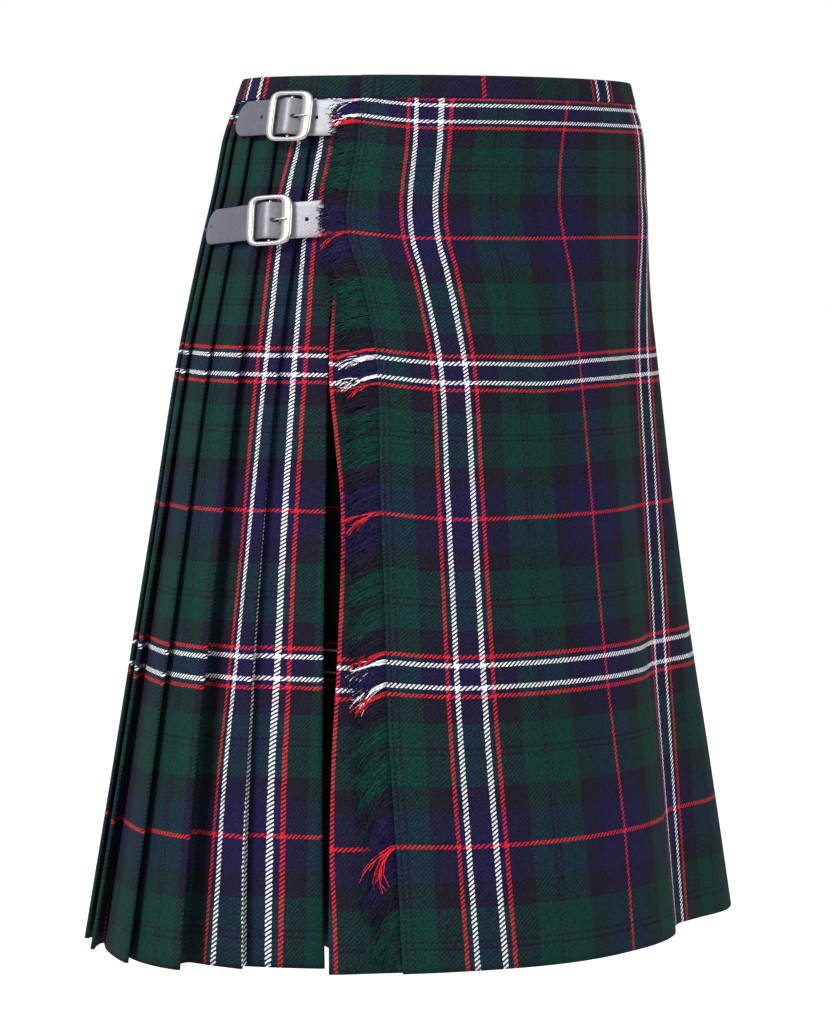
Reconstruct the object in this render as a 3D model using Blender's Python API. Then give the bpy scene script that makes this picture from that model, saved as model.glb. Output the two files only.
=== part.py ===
"""Knife-pleated wool kilt, worn shape with no wearer, straps fastened at the right hip.

The wearer faces -Y and the wearer's right is -X. The origin is the centre of the
waist at the top edge of the band, and the cloth hangs below it.
"""
import math
import random

import bmesh
import bpy
from mathutils import Vector

# sizes in metres
KILT_LENGTH = 0.610
WAIST_HALF_WIDTH = 0.164
WAIST_HALF_DEPTH = 0.1265
CLOTH = 0.0014
LAYER = 0.0020
SEAM = 0.0003
BAND_DEPTH = 0.016
BAND_WALL = 0.0028
BAND_INNER_DROP = 0.0064
UNDER_DROP = 0.0052
PLEAT_COUNT = 23
STITCHED_DEPTH = 0.120
WAIST_STEP = 0.0058
WAIST_LAP = 0.007
HEM_LAP = 0.019
FOLD_ROUND = 0.0016
LEFT_RETURN = 0.022
RETURN_EASE = 0.0003
FRINGE_STRIP = 0.003
FRINGE_LOCKS = 74
FRINGE_LENGTH = 0.020
LOCK_CLEAR = 0.0006
STRAP_WIDTH = 0.0255
STRAP_WALL = 0.0022
TAB_WIDTH = 0.021
TAB_WALL = 0.0012
TAB_SLOT = 0.0046
HOLE_PITCH = 0.019
BAR_RADIUS = 0.0012
BAR_HEIGHT = 0.0036
FRAME_BOTTOM = 0.0042
FRAME_TOP = 0.0080
PRONG_RADIUS = 0.0008

# heights of the rows of points down the cloth, below the band
CLOTH_ROWS = (0.0, 0.038, 0.080, 0.122, 0.186, 0.270, 0.362, 0.455, 0.535, 0.5937)

# angle from the wearer's front in degrees, hem radius
HEM_RING = (
    (-180, 0.236), (-150, 0.238), (-135, 0.244), (-120, 0.262), (-109, 0.277), (-96, 0.276),
    (-84, 0.262), (-66, 0.248), (-50, 0.234), (-30, 0.222), (-10, 0.208), (0, 0.203),
    (10, 0.196), (22, 0.185), (31, 0.196), (42, 0.218), (60, 0.230), (75, 0.240),
    (90, 0.248), (110, 0.254), (135, 0.246), (160, 0.238), (180, 0.236),
)
# depth below the top edge, share of the flare reached at the front, at the back
FLARE = (
    (0.0, 0.0, 0.0), (0.03, 0.07, 0.065), (0.08, 0.12, 0.15), (0.12, 0.15, 0.235),
    (0.20, 0.27, 0.385), (0.30, 0.42, 0.53), (0.40, 0.59, 0.68), (0.50, 0.79, 0.83),
    (0.61, 1.0, 1.0),
)
# depth, angles of the apron's right edge, first stripe group, red line, second group, left fold
WARP_LINES = (
    (0.016, -68.7, -52.1, -4.3, 41.8, 78.0), (0.048, -68.9, -52.4, -8.8, 41.8, 78.0),
    (0.086, -70.7, -53.4, -10.9, 41.6, 78.0), (0.112, -70.1, -52.8, -9.5, 41.2, 77.5),
    (0.140, -66.8, -50.2, -7.3, 38.5, 77.0), (0.200, -62.8, -46.0, -6.8, 33.0, 75.0),
    (0.275, -61.5, -44.7, -6.6, 30.9, 73.0), (0.370, -59.8, -43.5, -7.0, 28.5, 70.0),
    (0.440, -58.7, -42.7, -7.2, 26.1, 68.0), (0.527, -56.7, -41.4, -6.9, 24.1, 65.0),
    (0.610, -55.2, -40.1, -7.9, 23.1, 63.0),
)
# columns of points between one warp line and the next
WARP_COLUMNS = (3, 5, 6, 5)
# depth, angle of the under apron's folded edge, how far it stands in from the ring
UNDER_EDGE = (
    (0.016, -72.0, 0.0052), (0.140, -72.6, 0.0052), (0.215, -70.4, 0.0034), (0.300, -68.3, 0.0026),
    (0.390, -67.7, 0.0022), (0.465, -67.2, 0.0022), (0.570, -66.1, 0.0022), (0.610, -65.8, 0.0022),
)
# the pleats that end at the right hip: waist angle, hem angle, waist and hem set-back,
# hem step, how far the fold bows towards the back half-way down
HIP_PLEATS = (
    (252.0, 247.6, 0.0004, 0.002, 0.016, -1.0),
    (260.9, 258.4, 0.0012, 0.004, 0.012, -1.2),
    (269.6, 268.6, 0.0028, 0.006, 0.026, -2.6),
    (278.9, 277.0, 0.0045, 0.019, 0.010, -2.2),
    (285.7, 290.0, 0.0050, 0.024, 0.0, -1.6),
)
DEEP_PLEAT_ANGLE = 25.0
DEEP_PLEAT_DROP = 0.105
SEAM_DROP = 0.052
HIP_DROOP = 0.006
HIP_DROOP_ANGLE = -100.0
HIP_DROOP_SPREAD = 24.0

# strap name, depth of its middle at the fringe and at the tip, angle of the buckle, tip angle
STRAPS = (
    ("upper", 0.0298, 0.0296, -87.6, -105.5),
    ("lower", 0.0990, 0.1060, -92.0, -114.0),
)
BUCKLE_LENGTH = 0.036
BUCKLE_HEIGHT = 0.036
OPENING_LENGTH = 0.0215
OPENING_HEIGHT = 0.0290
RIGHT_BAR = 0.0085


def read(table, x, column=1):
    """Smooth value of one column of a table at x, held at the table's ends."""
    last = len(table) - 1
    i = 0
    while i < last - 1 and x > table[i + 1][0]:
        i += 1

    def slope(k):
        a = table[max(k - 1, 0)]
        b = table[min(k + 1, last)]
        return (b[column] - a[column]) / (b[0] - a[0])

    span = table[i + 1][0] - table[i][0]
    s = min(max((x - table[i][0]) / span, 0.0), 1.0)
    start = (1 + 2 * s) * (1 - s) ** 2 * table[i][column] + s * (1 - s) ** 2 * span * slope(i)
    end = s * s * (3 - 2 * s) * table[i + 1][column] + s * s * (s - 1) * span * slope(i + 1)
    return start + end


def ease(low, high, x):
    s = min(max((x - low) / (high - low), 0.0), 1.0)
    return s * s * (3 - 2 * s)


def turn(angle):
    """The same direction as an angle from -180 to 180 degrees."""
    return (angle + 180.0) % 360.0 - 180.0


def ring_radius(angle, depth):
    """Distance from the middle to the outermost cloth in one direction."""
    a = math.radians(angle)
    waist = 1.0 / math.hypot(math.sin(a) / WAIST_HALF_WIDTH, math.cos(a) / WAIST_HALF_DEPTH)
    back = ease(60.0, 110.0, abs(turn(angle - 10.0)))
    flare = read(FLARE, depth, 1) * (1 - back) + read(FLARE, depth, 2) * back
    return waist + (read(HEM_RING, turn(angle)) - waist) * flare


def plan(angle, radius):
    a = math.radians(angle)
    return Vector((radius * math.sin(a), -radius * math.cos(a)))


def on_ring(angle, depth, out=0.0):
    return plan(angle, ring_radius(angle, depth) + out)


def droop(point, depth):
    """How much lower the pleats at the right hip hang towards the hem."""
    angle = math.degrees(math.atan2(point.x, -point.y))
    near = math.exp(-((turn(angle - HIP_DROOP_ANGLE) / HIP_DROOP_SPREAD) ** 2))
    return HIP_DROOP * near * (depth / KILT_LENGTH) ** 3


def skins(path, wall):
    """The outer and inner sides of a wall along a path seen from above."""
    outer = []
    inner = []
    for i, point in enumerate(path):
        normal = Vector((0.0, 0.0))
        for a, b in ((i - 1, i), (i, i + 1)):
            if a >= 0 and b < len(path):
                step = (path[b] - path[a]).normalized()
                normal += Vector((step.y, -step.x))
        side = normal.normalized() * wall / 2
        outer.append(point + side)
        inner.append(point - side)
    return outer, inner


def new_material(name, color, roughness, metallic):
    material = bpy.data.materials.new(name)
    material.use_nodes = True
    shader = material.node_tree.nodes["Principled BSDF"]
    shader.inputs["Base Color"].default_value = (*color, 1.0)
    shader.inputs["Roughness"].default_value = roughness
    shader.inputs["Metallic"].default_value = metallic
    return material


def add_object(name, mesh_edit, material, collection):
    """Finish an edited mesh as one named object with its faces pointing out."""
    bmesh.ops.recalc_face_normals(mesh_edit, faces=mesh_edit.faces)
    mesh = bpy.data.meshes.new(name)
    mesh_edit.to_mesh(mesh)
    mesh_edit.free()
    mesh.materials.append(material)
    mesh.shade_smooth()
    mesh.set_sharp_from_angle(angle=math.radians(35.0))
    obj = bpy.data.objects.new(name, mesh)
    collection.objects.link(obj)
    return obj


def wall_mesh(outer_rows, inner_rows):
    """A closed wall between two grids of points with the same rows and columns."""
    bm = bmesh.new()
    outer = [[bm.verts.new(p) for p in row] for row in outer_rows]
    inner = [[bm.verts.new(p) for p in row] for row in inner_rows]
    last_row = len(outer) - 1
    last_column = len(outer[0]) - 1
    for r in range(last_row):
        for c in range(last_column):
            bm.faces.new((outer[r][c], outer[r + 1][c], outer[r + 1][c + 1], outer[r][c + 1]))
            bm.faces.new((inner[r][c], inner[r][c + 1], inner[r + 1][c + 1], inner[r + 1][c]))
    for c in range(last_column):
        for r in (0, last_row):
            bm.faces.new((outer[r][c], outer[r][c + 1], inner[r][c + 1], inner[r][c]))
    for r in range(last_row):
        for c in (0, last_column):
            bm.faces.new((outer[r][c], inner[r][c], inner[r + 1][c], outer[r + 1][c]))
    return bm


def cloth_wall(path_at, depths, wall=CLOTH):
    """A wall of cloth through one path for each depth, the last row at the hem."""
    outer_rows = []
    inner_rows = []
    for depth in depths:
        outer, inner = skins(path_at(depth), wall)
        outer_rows.append([Vector((p.x, p.y, -depth - droop(p, depth))) for p in outer])
        inner_rows.append([Vector((p.x, p.y, -depth - droop(p, depth))) for p in inner])
    return wall_mesh(outer_rows, inner_rows)


def panel_depths():
    top = BAND_DEPTH + SEAM
    return [top + row for row in CLOTH_ROWS]


def fold_points(angle, depth, inward, toward):
    """Three points round a folded edge: before it, at it and after it, one layer in."""
    before = angle - math.degrees(FOLD_ROUND / ring_radius(angle, depth)) * toward
    return [
        on_ring(before, depth, -inward), on_ring(angle, depth, -inward - LAYER / 2),
        on_ring(before, depth, -inward - LAYER),
    ]


def outer_apron_path(depth):
    """From the fringed edge across the front to the left fold, and back under it."""
    angles = []
    for line, count in enumerate(WARP_COLUMNS, start=1):
        start = read(WARP_LINES, depth, line)
        end = read(WARP_LINES, depth, line + 1)
        angles += [start + (end - start) * i / count for i in range(count)]
    path = [on_ring(angle, depth) for angle in angles]
    fold = read(WARP_LINES, depth, 5)
    path += fold_points(fold, depth, 0.0, 1)
    width = math.degrees(LEFT_RETURN / ring_radius(fold, depth))
    for share in (0.5, 1.0):
        path.append(on_ring(fold - width * share, depth, -LAYER - RETURN_EASE * share))
    return path


def pleat_rows():
    """Every pleat's fold: waist angle, hem angle, waist and hem set-back, hem step, bow."""
    hips = len(HIP_PLEATS)
    plain = PLEAT_COUNT - hips
    first = HIP_PLEATS[0]
    rows = []
    for k in range(1, plain + 1):
        share = k / (plain + 1)
        uneven = math.sin(2.4 * k) + 0.6 * math.sin(5.3 * k + 1.0)
        waist = 78.0 + (first[0] - 78.0) * share
        hem = 63.0 + (first[1] - 63.0) * share + 0.55 * uneven
        rows.append((waist, hem, 0.0004, 0.002 + 0.0012 * uneven, 0.018 + 0.003 * uneven, 0.0))
    return rows + list(HIP_PLEATS)


def pleat_state(row, depth):
    """Angle, radius, step and lap of one fold at one depth."""
    flare = depth / KILT_LENGTH
    open_share = max(0.0, (depth - STITCHED_DEPTH) / (KILT_LENGTH - STITCHED_DEPTH))
    angle = row[0] + (row[1] - row[0]) * flare + row[5] * 4 * flare * (1 - flare)
    inward = row[2] + (row[3] - row[2]) * open_share
    step = max(WAIST_STEP, WAIST_STEP + (row[4] - WAIST_STEP) * open_share)
    lap = WAIST_LAP + (HEM_LAP - WAIST_LAP) * open_share * ease(0.004, 0.016, row[4])
    radius = ring_radius(angle, depth) - inward
    return angle, radius, step, math.degrees(lap / radius)


def pleated_back_path(depth):
    """Knife pleats from under the apron's left fold round the back to the right hip."""
    fold = read(WARP_LINES, depth, 5)
    radius = ring_radius(fold, depth)
    hidden = 2 * LAYER + 2 * RETURN_EASE
    start = fold - math.degrees(LEFT_RETURN / radius)
    path = [on_ring(angle, depth, -hidden) for angle in (start, (start + fold) / 2, fold)]
    last_angle, last_radius, last_step, last_lap = fold, radius, hidden, 0.0
    rows = pleat_rows()
    for k, row in enumerate(rows):
        angle, radius, step, lap = pleat_state(row, depth)
        tip = math.degrees(FOLD_ROUND / radius)
        width = angle - last_angle
        low = last_radius - last_step
        for x in (0.12 * width, 0.5 * width):
            share = (x + last_lap) / (width + last_lap)
            path.append(plan(last_angle + x, low + (radius - low) * share ** 0.9))
        path.append(plan(angle - tip, radius))
        path.append(plan(angle, radius - LAYER / 2))
        path.append(plan(angle - tip, radius - LAYER))
        if k == len(rows) - 1:
            break
        slope = (radius - low) / (width + last_lap) * lap
        inner = max(step, slope + 2 * LAYER + 0.0003)
        spread = (inner - slope - 2 * LAYER) * 0.5
        path.append(plan(angle - 0.55 * lap, radius - LAYER - 0.55 * slope - 0.4 * spread))
        path.append(plan(angle - lap + tip, radius - LAYER - slope - spread))
        path.append(plan(angle - lap, radius - inner + LAYER * 0.5 + spread * 0.3))
        path.append(plan(angle - lap + tip, radius - inner))
        last_angle, last_radius, last_step, last_lap = angle, radius, inner, lap
    return path + deep_pleat(depth, angle, radius)


def deep_share(depth):
    return max(0.0, (depth - STITCHED_DEPTH) / (KILT_LENGTH - STITCHED_DEPTH)) ** 1.15


def deep_pleat(depth, angle, radius):
    """The layer that runs in behind the last pleat and out again to the hidden seam."""
    share = deep_share(depth)
    back = 4.5 + (DEEP_PLEAT_ANGLE - 4.5) * share
    drop = 2 * LAYER + 0.0012 + DEEP_PLEAT_DROP * share
    near = radius - LAYER
    points = []
    for s in (0.35, 0.75):
        points.append(plan(angle - back * s, near + (radius - drop + LAYER / 2 - near) * s))
    points.append(plan(angle - back - 0.5, radius - drop))
    points.append(plan(angle - back, radius - drop - LAYER / 2))
    seam_angle, seam_radius = hidden_seam(depth)
    low = radius - drop - LAYER / 2
    for s in (0.3, 0.65, 1.0):
        a = angle - back + (seam_angle % 360.0 - angle + back) * s
        points.append(plan(a, low + (seam_radius - LAYER - low) * s))
    return points


def hidden_seam(depth):
    """Where the pleated length meets the under apron, out of sight in the deep pleat."""
    share = deep_share(depth)
    edge = read(UNDER_EDGE, depth, 1)
    angle = edge + 4.0 - 1.0 * share
    inward = read(UNDER_EDGE, depth, 2) + LAYER + RETURN_EASE + SEAM_DROP * share
    return angle, ring_radius(angle, depth) - inward


def under_apron_path(depth):
    """From the hidden seam out to the folded edge, then across under the outer apron."""
    edge = read(UNDER_EDGE, depth, 1)
    inward = read(UNDER_EDGE, depth, 2)
    seam_angle, seam_radius = hidden_seam(depth)
    tip = math.degrees(FOLD_ROUND / ring_radius(edge, depth))
    share = deep_share(depth)
    path = [plan(seam_angle, seam_radius)]
    middle = (seam_angle + edge + tip) / 2 + 0.6 * share
    path.append(on_ring(middle, depth, -inward - LAYER - RETURN_EASE / 2 - SEAM_DROP * share * 0.45))
    path += fold_points(edge, depth, inward, -1)[::-1]
    free_edge = 56.0 - 10.0 * depth / KILT_LENGTH
    start = edge + 5.0
    count = 13
    for i in range(-1, count + 1):
        angle = start + (free_edge - start) * i / count if i >= 0 else edge + 2 * tip
        covered = ease(0.0, 9.0, angle - edge)
        path.append(on_ring(angle, depth, -inward + (inward - UNDER_DROP) * covered))
    return path


def waistband_path(depth):
    """Once round the waist on the outside, then on across the front on the inside."""
    start = read(WARP_LINES, BAND_DEPTH, 1)
    total = 360.0 + 56.0 - start
    count = 60
    path = []
    for i in range(count + 1):
        angle = start + total * i / count
        inside = ease(start + 325.0, start + 352.0, angle)
        path.append(on_ring(angle, depth, -BAND_INNER_DROP * inside))
    return path


def apron_edge(depth):
    """The apron's right edge between two rows of its points: place, way across, way out."""
    depths = panel_depths()
    i = 0
    while i < len(depths) - 2 and depth > depths[i + 1]:
        i += 1
    share = (depth - depths[i]) / (depths[i + 1] - depths[i])
    first = outer_apron_path(depths[i])[:2]
    second = outer_apron_path(depths[i + 1])[:2]
    point = first[0].lerp(second[0], share)
    across = (first[1] - first[0]).normalized().lerp((second[1] - second[0]).normalized(), share).normalized()
    return point, across, Vector((across.y, -across.x))


def fringe_mesh():
    """A narrow strip beside the apron's edge with one tapering lock to each cell."""
    rng = random.Random(7)
    top = BAND_DEPTH + SEAM
    pitch = (KILT_LENGTH - top) / FRINGE_LOCKS
    gap_share = 0.16
    depths = []
    for i in range(FRINGE_LOCKS):
        depths += [top + pitch * i, top + pitch * (i + 1 - gap_share)]
    depths.append(KILT_LENGTH)
    bm = bmesh.new()
    rows = []
    for depth in depths:
        point, across, out = apron_edge(depth)
        corners = []
        for away, side in ((SEAM, 1), (SEAM + FRINGE_STRIP, 1), (SEAM + FRINGE_STRIP, -1), (SEAM, -1)):
            p = point - across * away + out * (side * CLOTH / 2)
            corners.append(bm.verts.new((p.x, p.y, -depth)))
        rows.append(corners)
    for r in range(len(rows) - 1):
        a, b = rows[r], rows[r + 1]
        for i, j in ((0, 1), (2, 3), (3, 0)):
            bm.faces.new((a[i], a[j], b[j], b[i]))
        if r % 2:
            bm.faces.new((a[1], a[2], b[2], b[1]))
        else:
            add_lock(bm, (a[1], a[2], b[2], b[1]), (depths[r] + depths[r + 1]) / 2, rng)
    bm.faces.new(rows[0])
    bm.faces.new(rows[-1])
    return bm


def add_lock(bm, root, depth, rng):
    """A four-sided lock grown out of one cell of the strip, hanging lower down the edge."""
    fall = math.radians(14.0 + 46.0 * ease(0.10, 0.40, depth) + rng.uniform(-6.0, 6.0))
    length = FRINGE_LENGTH * rng.uniform(0.88, 1.08)
    half_height = (root[0].co.z - root[3].co.z) / 2
    room = max(KILT_LENGTH - LOCK_CLEAR - depth - half_height, 0.0)
    drop = min(length * math.sin(fall), room)
    reach = max(length * math.cos(fall), 0.55 * length if drop < 0.5 * length else 0.0)
    ring = list(root)
    for share, size in ((0.45, 0.86), (1.0, 0.42)):
        low = depth + drop * share ** 1.3
        point, across, out = apron_edge(low)
        middle = point - across * (SEAM + FRINGE_STRIP + reach * share)
        next_ring = []
        for side, up in ((1, 1), (-1, 1), (-1, -1), (1, -1)):
            p = middle + out * (side * CLOTH / 2 * size)
            next_ring.append(bm.verts.new((p.x, p.y, -low + up * half_height * size)))
        for i in range(4):
            j = (i + 1) % 4
            bm.faces.new((ring[i], ring[j], next_ring[j], next_ring[i]))
        ring = next_ring
    bm.faces.new(ring)


def hip_surface(angle, depth):
    """Radius of the outside of the pleats' folds near the right hip."""
    folds = pleat_rows()[-7:]
    inward = folds[0][2]
    for a, b in zip(folds, folds[1:]):
        if a[0] <= angle % 360.0 <= b[0]:
            s = (angle % 360.0 - a[0]) / (b[0] - a[0])
            inward = a[2] + (b[2] - a[2]) * s
        elif angle % 360.0 > b[0]:
            inward = b[2]
    return ring_radius(angle, depth) - inward + CLOTH / 2


class StrapFrame:
    """A strap's own line over the hip: distance from the buckle's bar, height above the pleats."""

    def __init__(self, row):
        self.name, self.root_depth, self.tip_depth, self.bar_angle, self.tip_angle = row
        self.half_width = STRAP_WIDTH / 2

    def depth(self, angle):
        s = (angle + 76.0) / (self.tip_angle + 76.0)
        return self.root_depth + (self.tip_depth - self.root_depth) * max(s, 0.0)

    def angle_at(self, distance):
        """The angle reached after a distance along the pleats, positive towards the back."""
        angle = self.bar_angle
        count = max(1, math.ceil(abs(distance) / 0.001))
        for _ in range(count):
            angle -= math.degrees(distance / count / hip_surface(angle, self.depth(angle)))
        return angle

    def axes(self, distance):
        """Place on the pleats' folds, then along the strap, up across it, and outward."""
        angle = self.angle_at(distance)

        def on_folds(a, lower):
            depth = self.depth(a) + lower
            p = plan(a, hip_surface(a, depth))
            return Vector((p.x, p.y, -depth))

        origin = on_folds(angle, 0.0)
        along = (on_folds(angle - 0.4, 0.0) - on_folds(angle + 0.4, 0.0)).normalized()
        lean = on_folds(angle, -0.01) - on_folds(angle, 0.01)
        outward = lean.cross(along).normalized()
        if outward.dot(Vector((origin.x, origin.y, 0.0))) < 0:
            outward = -outward
        up = outward.cross(along).normalized()
        if up.z < 0:
            up = -up
        return origin, along, up, outward

    def point(self, distance, height, across=0.0):
        """A point of the strap or tab, across being measured down its width."""
        origin, along, up, outward = self.axes(distance)
        return origin + outward * height - up * across


# distance from the buckle's bar towards the back, height of the strap's middle over the pleats
STRAP_RIDE = (
    (-0.060, 0.0010), (-0.053, 0.0010), (-0.046, 0.0011), (-0.038, 0.0014), (-0.030, 0.0015),
    (-0.020, 0.0015), (-0.0125, 0.0017), (-0.0095, 0.0024), (-0.0065, 0.0044),
    (-0.0035, 0.0069), (0.0, 0.0083), (0.0035, 0.0075), (0.0070, 0.0053), (0.0105, 0.0034),
    (0.0140, 0.0031), (0.0240, 0.0031), (0.0300, 0.0020), (0.0360, 0.0015), (0.0500, 0.0015),
)


def strap_stations(frame):
    """Distances along the strap from under the apron to the rounded tip."""
    tip = 0.0
    while frame.angle_at(tip) > frame.tip_angle:
        tip += 0.001
    holes = [-0.0050 + HOLE_PITCH * k for k in (-2, -1, 0, 1, 2)]
    holes = [h for h in holes if h < tip - 0.012]
    stations = [row[0] for row in STRAP_RIDE if row[0] < tip - 0.006]
    round_end = [tip - STRAP_WIDTH / 2 * (1 - math.sin(math.radians(a))) for a in (0, 30, 55, 75, 88)]
    stations = [s for s in stations if s < round_end[0] - 0.003] + round_end
    for hole in holes:
        half = 0.0032 if abs(hole + 0.005) < 1e-6 else 0.0016
        stations = [s for s in stations if abs(s - hole) > half + 0.0009]
        stations += [hole - half, hole - half * 0.41, hole + half * 0.41, hole + half]
    return sorted(stations), holes, tip


def strap_mesh(frame):
    """A leather strap with punched holes, over the bar and under the frame's sides."""
    stations, holes, tip = strap_stations(frame)
    across = (-1.0, -0.86, -0.13, -0.055, 0.055, 0.13, 0.86, 1.0)
    bm = bmesh.new()
    sides = []
    for side in (1, -1):
        grid = []
        for s in stations:
            left = tip - s
            reach = 1.0
            if left < frame.half_width:
                reach = math.sqrt(max(1 - (1 - left / frame.half_width) ** 2, 0.0004))
            height = read(STRAP_RIDE, s)
            tilt = math.atan2(read(STRAP_RIDE, s + 0.001) - read(STRAP_RIDE, s - 0.001), 0.002)
            ds = -math.sin(tilt) * STRAP_WALL / 2 * side
            dh = math.cos(tilt) * STRAP_WALL / 2 * side
            row = []
            for w in across:
                row.append(bm.verts.new(frame.point(s + ds, height + dh, w * reach * frame.half_width)))
            grid.append(row)
        sides.append(grid)
    fill_holed_grid(bm, sides, stations, holes)
    return bm


def fill_holed_grid(bm, sides, stations, holes):
    """Faces of both sides and every rim, leaving an eight-sided hole at each hole's cells."""
    rows = len(stations) - 1
    columns = len(sides[0][0]) - 1
    centre = columns // 2
    starts = {}
    for hole in holes:
        index = min(range(rows), key=lambda i: abs((stations[i] + stations[i + 1]) / 2 - hole))
        starts[index - 1] = index + 2
    cells = {}
    for first in starts:
        for i in range(3):
            for j in range(3):
                cells[(first + i, centre - 1 + j)] = (i, j)
    for grid in sides:
        for r in range(rows):
            for c in range(columns):
                corner = [grid[r][c], grid[r + 1][c], grid[r + 1][c + 1], grid[r][c + 1]]
                place = cells.get((r, c))
                if place is None:
                    bm.faces.new(corner)
                elif place[0] != 1 and place[1] != 1:
                    drop = {(0, 0): 2, (2, 0): 3, (2, 2): 0, (0, 2): 1}[place]
                    bm.faces.new([v for i, v in enumerate(corner) if i != drop])
    bm.edges.ensure_lookup_table()
    close_rims(bm, sides)


def close_rims(bm, sides):
    """Join every open edge of one side to the same edge of the other."""
    partner = {}
    for row_a, row_b in zip(*sides):
        for a, b in zip(row_a, row_b):
            partner[a] = b
    rims = [e for e in bm.edges if len(e.link_faces) == 1 and e.verts[0] in partner]
    for edge in rims:
        a, b = edge.verts
        bm.faces.new((a, b, partner[b], partner[a]))
    loose = [v for v in bm.verts if not v.link_faces]
    bmesh.ops.delete(bm, geom=loose, context="VERTS")


# the tab's middle line round the bar: distance from the bar, height over the pleats
TAB_LINE = (
    (0.0225, 0.0010), (0.0150, 0.0010), (0.0080, 0.0010), (0.0032, 0.0011), (0.0, 0.0015),
    (-0.0015, 0.0021), (-0.0021, 0.0036), (-0.0015, 0.0051), (0.0, 0.0057), (0.0019, 0.0051),
    (0.0034, 0.0039), (0.0046, 0.0029),
)
TAB_SLOT_ROWS = (3, 10)


def tab_mesh(frame):
    """A narrow leather tab round the centre bar, slotted for the prong."""
    across = (-1.0, -0.55, -TAB_SLOT / TAB_WIDTH, TAB_SLOT / TAB_WIDTH, 0.55, 1.0)
    line = [Vector(p) for p in TAB_LINE]
    bm = bmesh.new()
    sides = []
    for side in (1, -1):
        grid = []
        for i, p in enumerate(line):
            ahead = line[min(i + 1, len(line) - 1)] - line[max(i - 1, 0)]
            ahead.normalize()
            q = p + Vector((-ahead.y, ahead.x)) * TAB_WALL / 2 * side
            grid.append([bm.verts.new(frame.point(q.x, q.y, w * TAB_WIDTH / 2)) for w in across])
        sides.append(grid)
    middle = len(across) // 2 - 1
    for grid in sides:
        for r in range(len(line) - 1):
            for c in range(len(across) - 1):
                if c == middle and TAB_SLOT_ROWS[0] <= r < TAB_SLOT_ROWS[1]:
                    continue
                bm.faces.new((grid[r][c], grid[r + 1][c], grid[r + 1][c + 1], grid[r][c + 1]))
    close_rims(bm, sides)
    return bm


def rounded_outline(half_x, half_y, power, count):
    """Points round a rectangle with soft corners."""
    points = []
    for i in range(count):
        a = 2 * math.pi * (i + 0.5) / count
        x = math.copysign(abs(math.cos(a)) ** (2 / power), math.cos(a))
        y = math.copysign(abs(math.sin(a)) ** (2 / power), math.sin(a))
        points.append((half_x * x, half_y * y))
    return points


def buckle_frame_mesh(axes):
    """The cast frame: soft corners outside, a square opening, a wider bar by the apron."""
    origin, along, up, outward = axes
    count = 32
    outer = rounded_outline(BUCKLE_LENGTH / 2, BUCKLE_HEIGHT / 2, 5.0, count)
    inner = rounded_outline(OPENING_LENGTH / 2, OPENING_HEIGHT / 2, 9.0, count)
    left_bar = BUCKLE_LENGTH - OPENING_LENGTH - RIGHT_BAR
    shift = (left_bar - RIGHT_BAR) / 2
    middle = (FRAME_BOTTOM + FRAME_TOP) / 2
    half = (FRAME_TOP - FRAME_BOTTOM) / 2
    bm = bmesh.new()
    rings = []
    for (ox, oy), (ix, iy) in zip(outer, inner):
        ox += shift
        section = []
        for k in range(8):
            a = 2 * math.pi * (k + 0.5) / 8
            s = 0.5 + 0.5 * math.copysign(abs(math.cos(a)) ** 0.7, math.cos(a))
            h = middle + half * math.copysign(abs(math.sin(a)) ** 0.7, math.sin(a)) / 0.975
            h = min(max(h, FRAME_BOTTOM), FRAME_TOP)
            x = ix + (ox - ix) * s
            y = iy + (oy - iy) * s
            section.append(bm.verts.new(origin + along * x + up * y + outward * h))
        rings.append(section)
    for i in range(count):
        a, b = rings[i], rings[(i + 1) % count]
        for k in range(8):
            j = (k + 1) % 8
            bm.faces.new((a[k], a[j], b[j], b[k]))
    return bm


def tube_object(name, points, radius, sides, material, collection):
    """A round bar with filled ends along a few points, as a mesh object."""
    curve = bpy.data.curves.new(name, "CURVE")
    curve.dimensions = "3D"
    curve.bevel_depth = radius
    curve.bevel_resolution = sides
    curve.use_fill_caps = True
    spline = curve.splines.new("POLY")
    spline.points.add(len(points) - 1)
    for target, point in zip(spline.points, points):
        target.co = (*point, 1.0)
    source = bpy.data.objects.new(name + "_line", curve)
    collection.objects.link(source)
    bpy.context.view_layer.update()
    graph = bpy.context.evaluated_depsgraph_get()
    mesh = bpy.data.meshes.new_from_object(source.evaluated_get(graph))
    bpy.data.objects.remove(source)
    bm = bmesh.new()
    bm.from_mesh(mesh)
    bmesh.ops.remove_doubles(bm, verts=bm.verts, dist=0.00001)
    bpy.data.meshes.remove(mesh)
    return add_object(name, bm, material, collection)


def join_bodies(target, tool):
    """Fuse two bodies into the first and remove the second."""
    modifier = target.modifiers.new("fuse", "BOOLEAN")
    modifier.operation = "UNION"
    modifier.solver = "EXACT"
    modifier.object = tool
    graph = bpy.context.evaluated_depsgraph_get()
    mesh = bpy.data.meshes.new_from_object(target.evaluated_get(graph))
    target.modifiers.clear()
    target.data = mesh
    bpy.data.objects.remove(tool)


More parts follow.
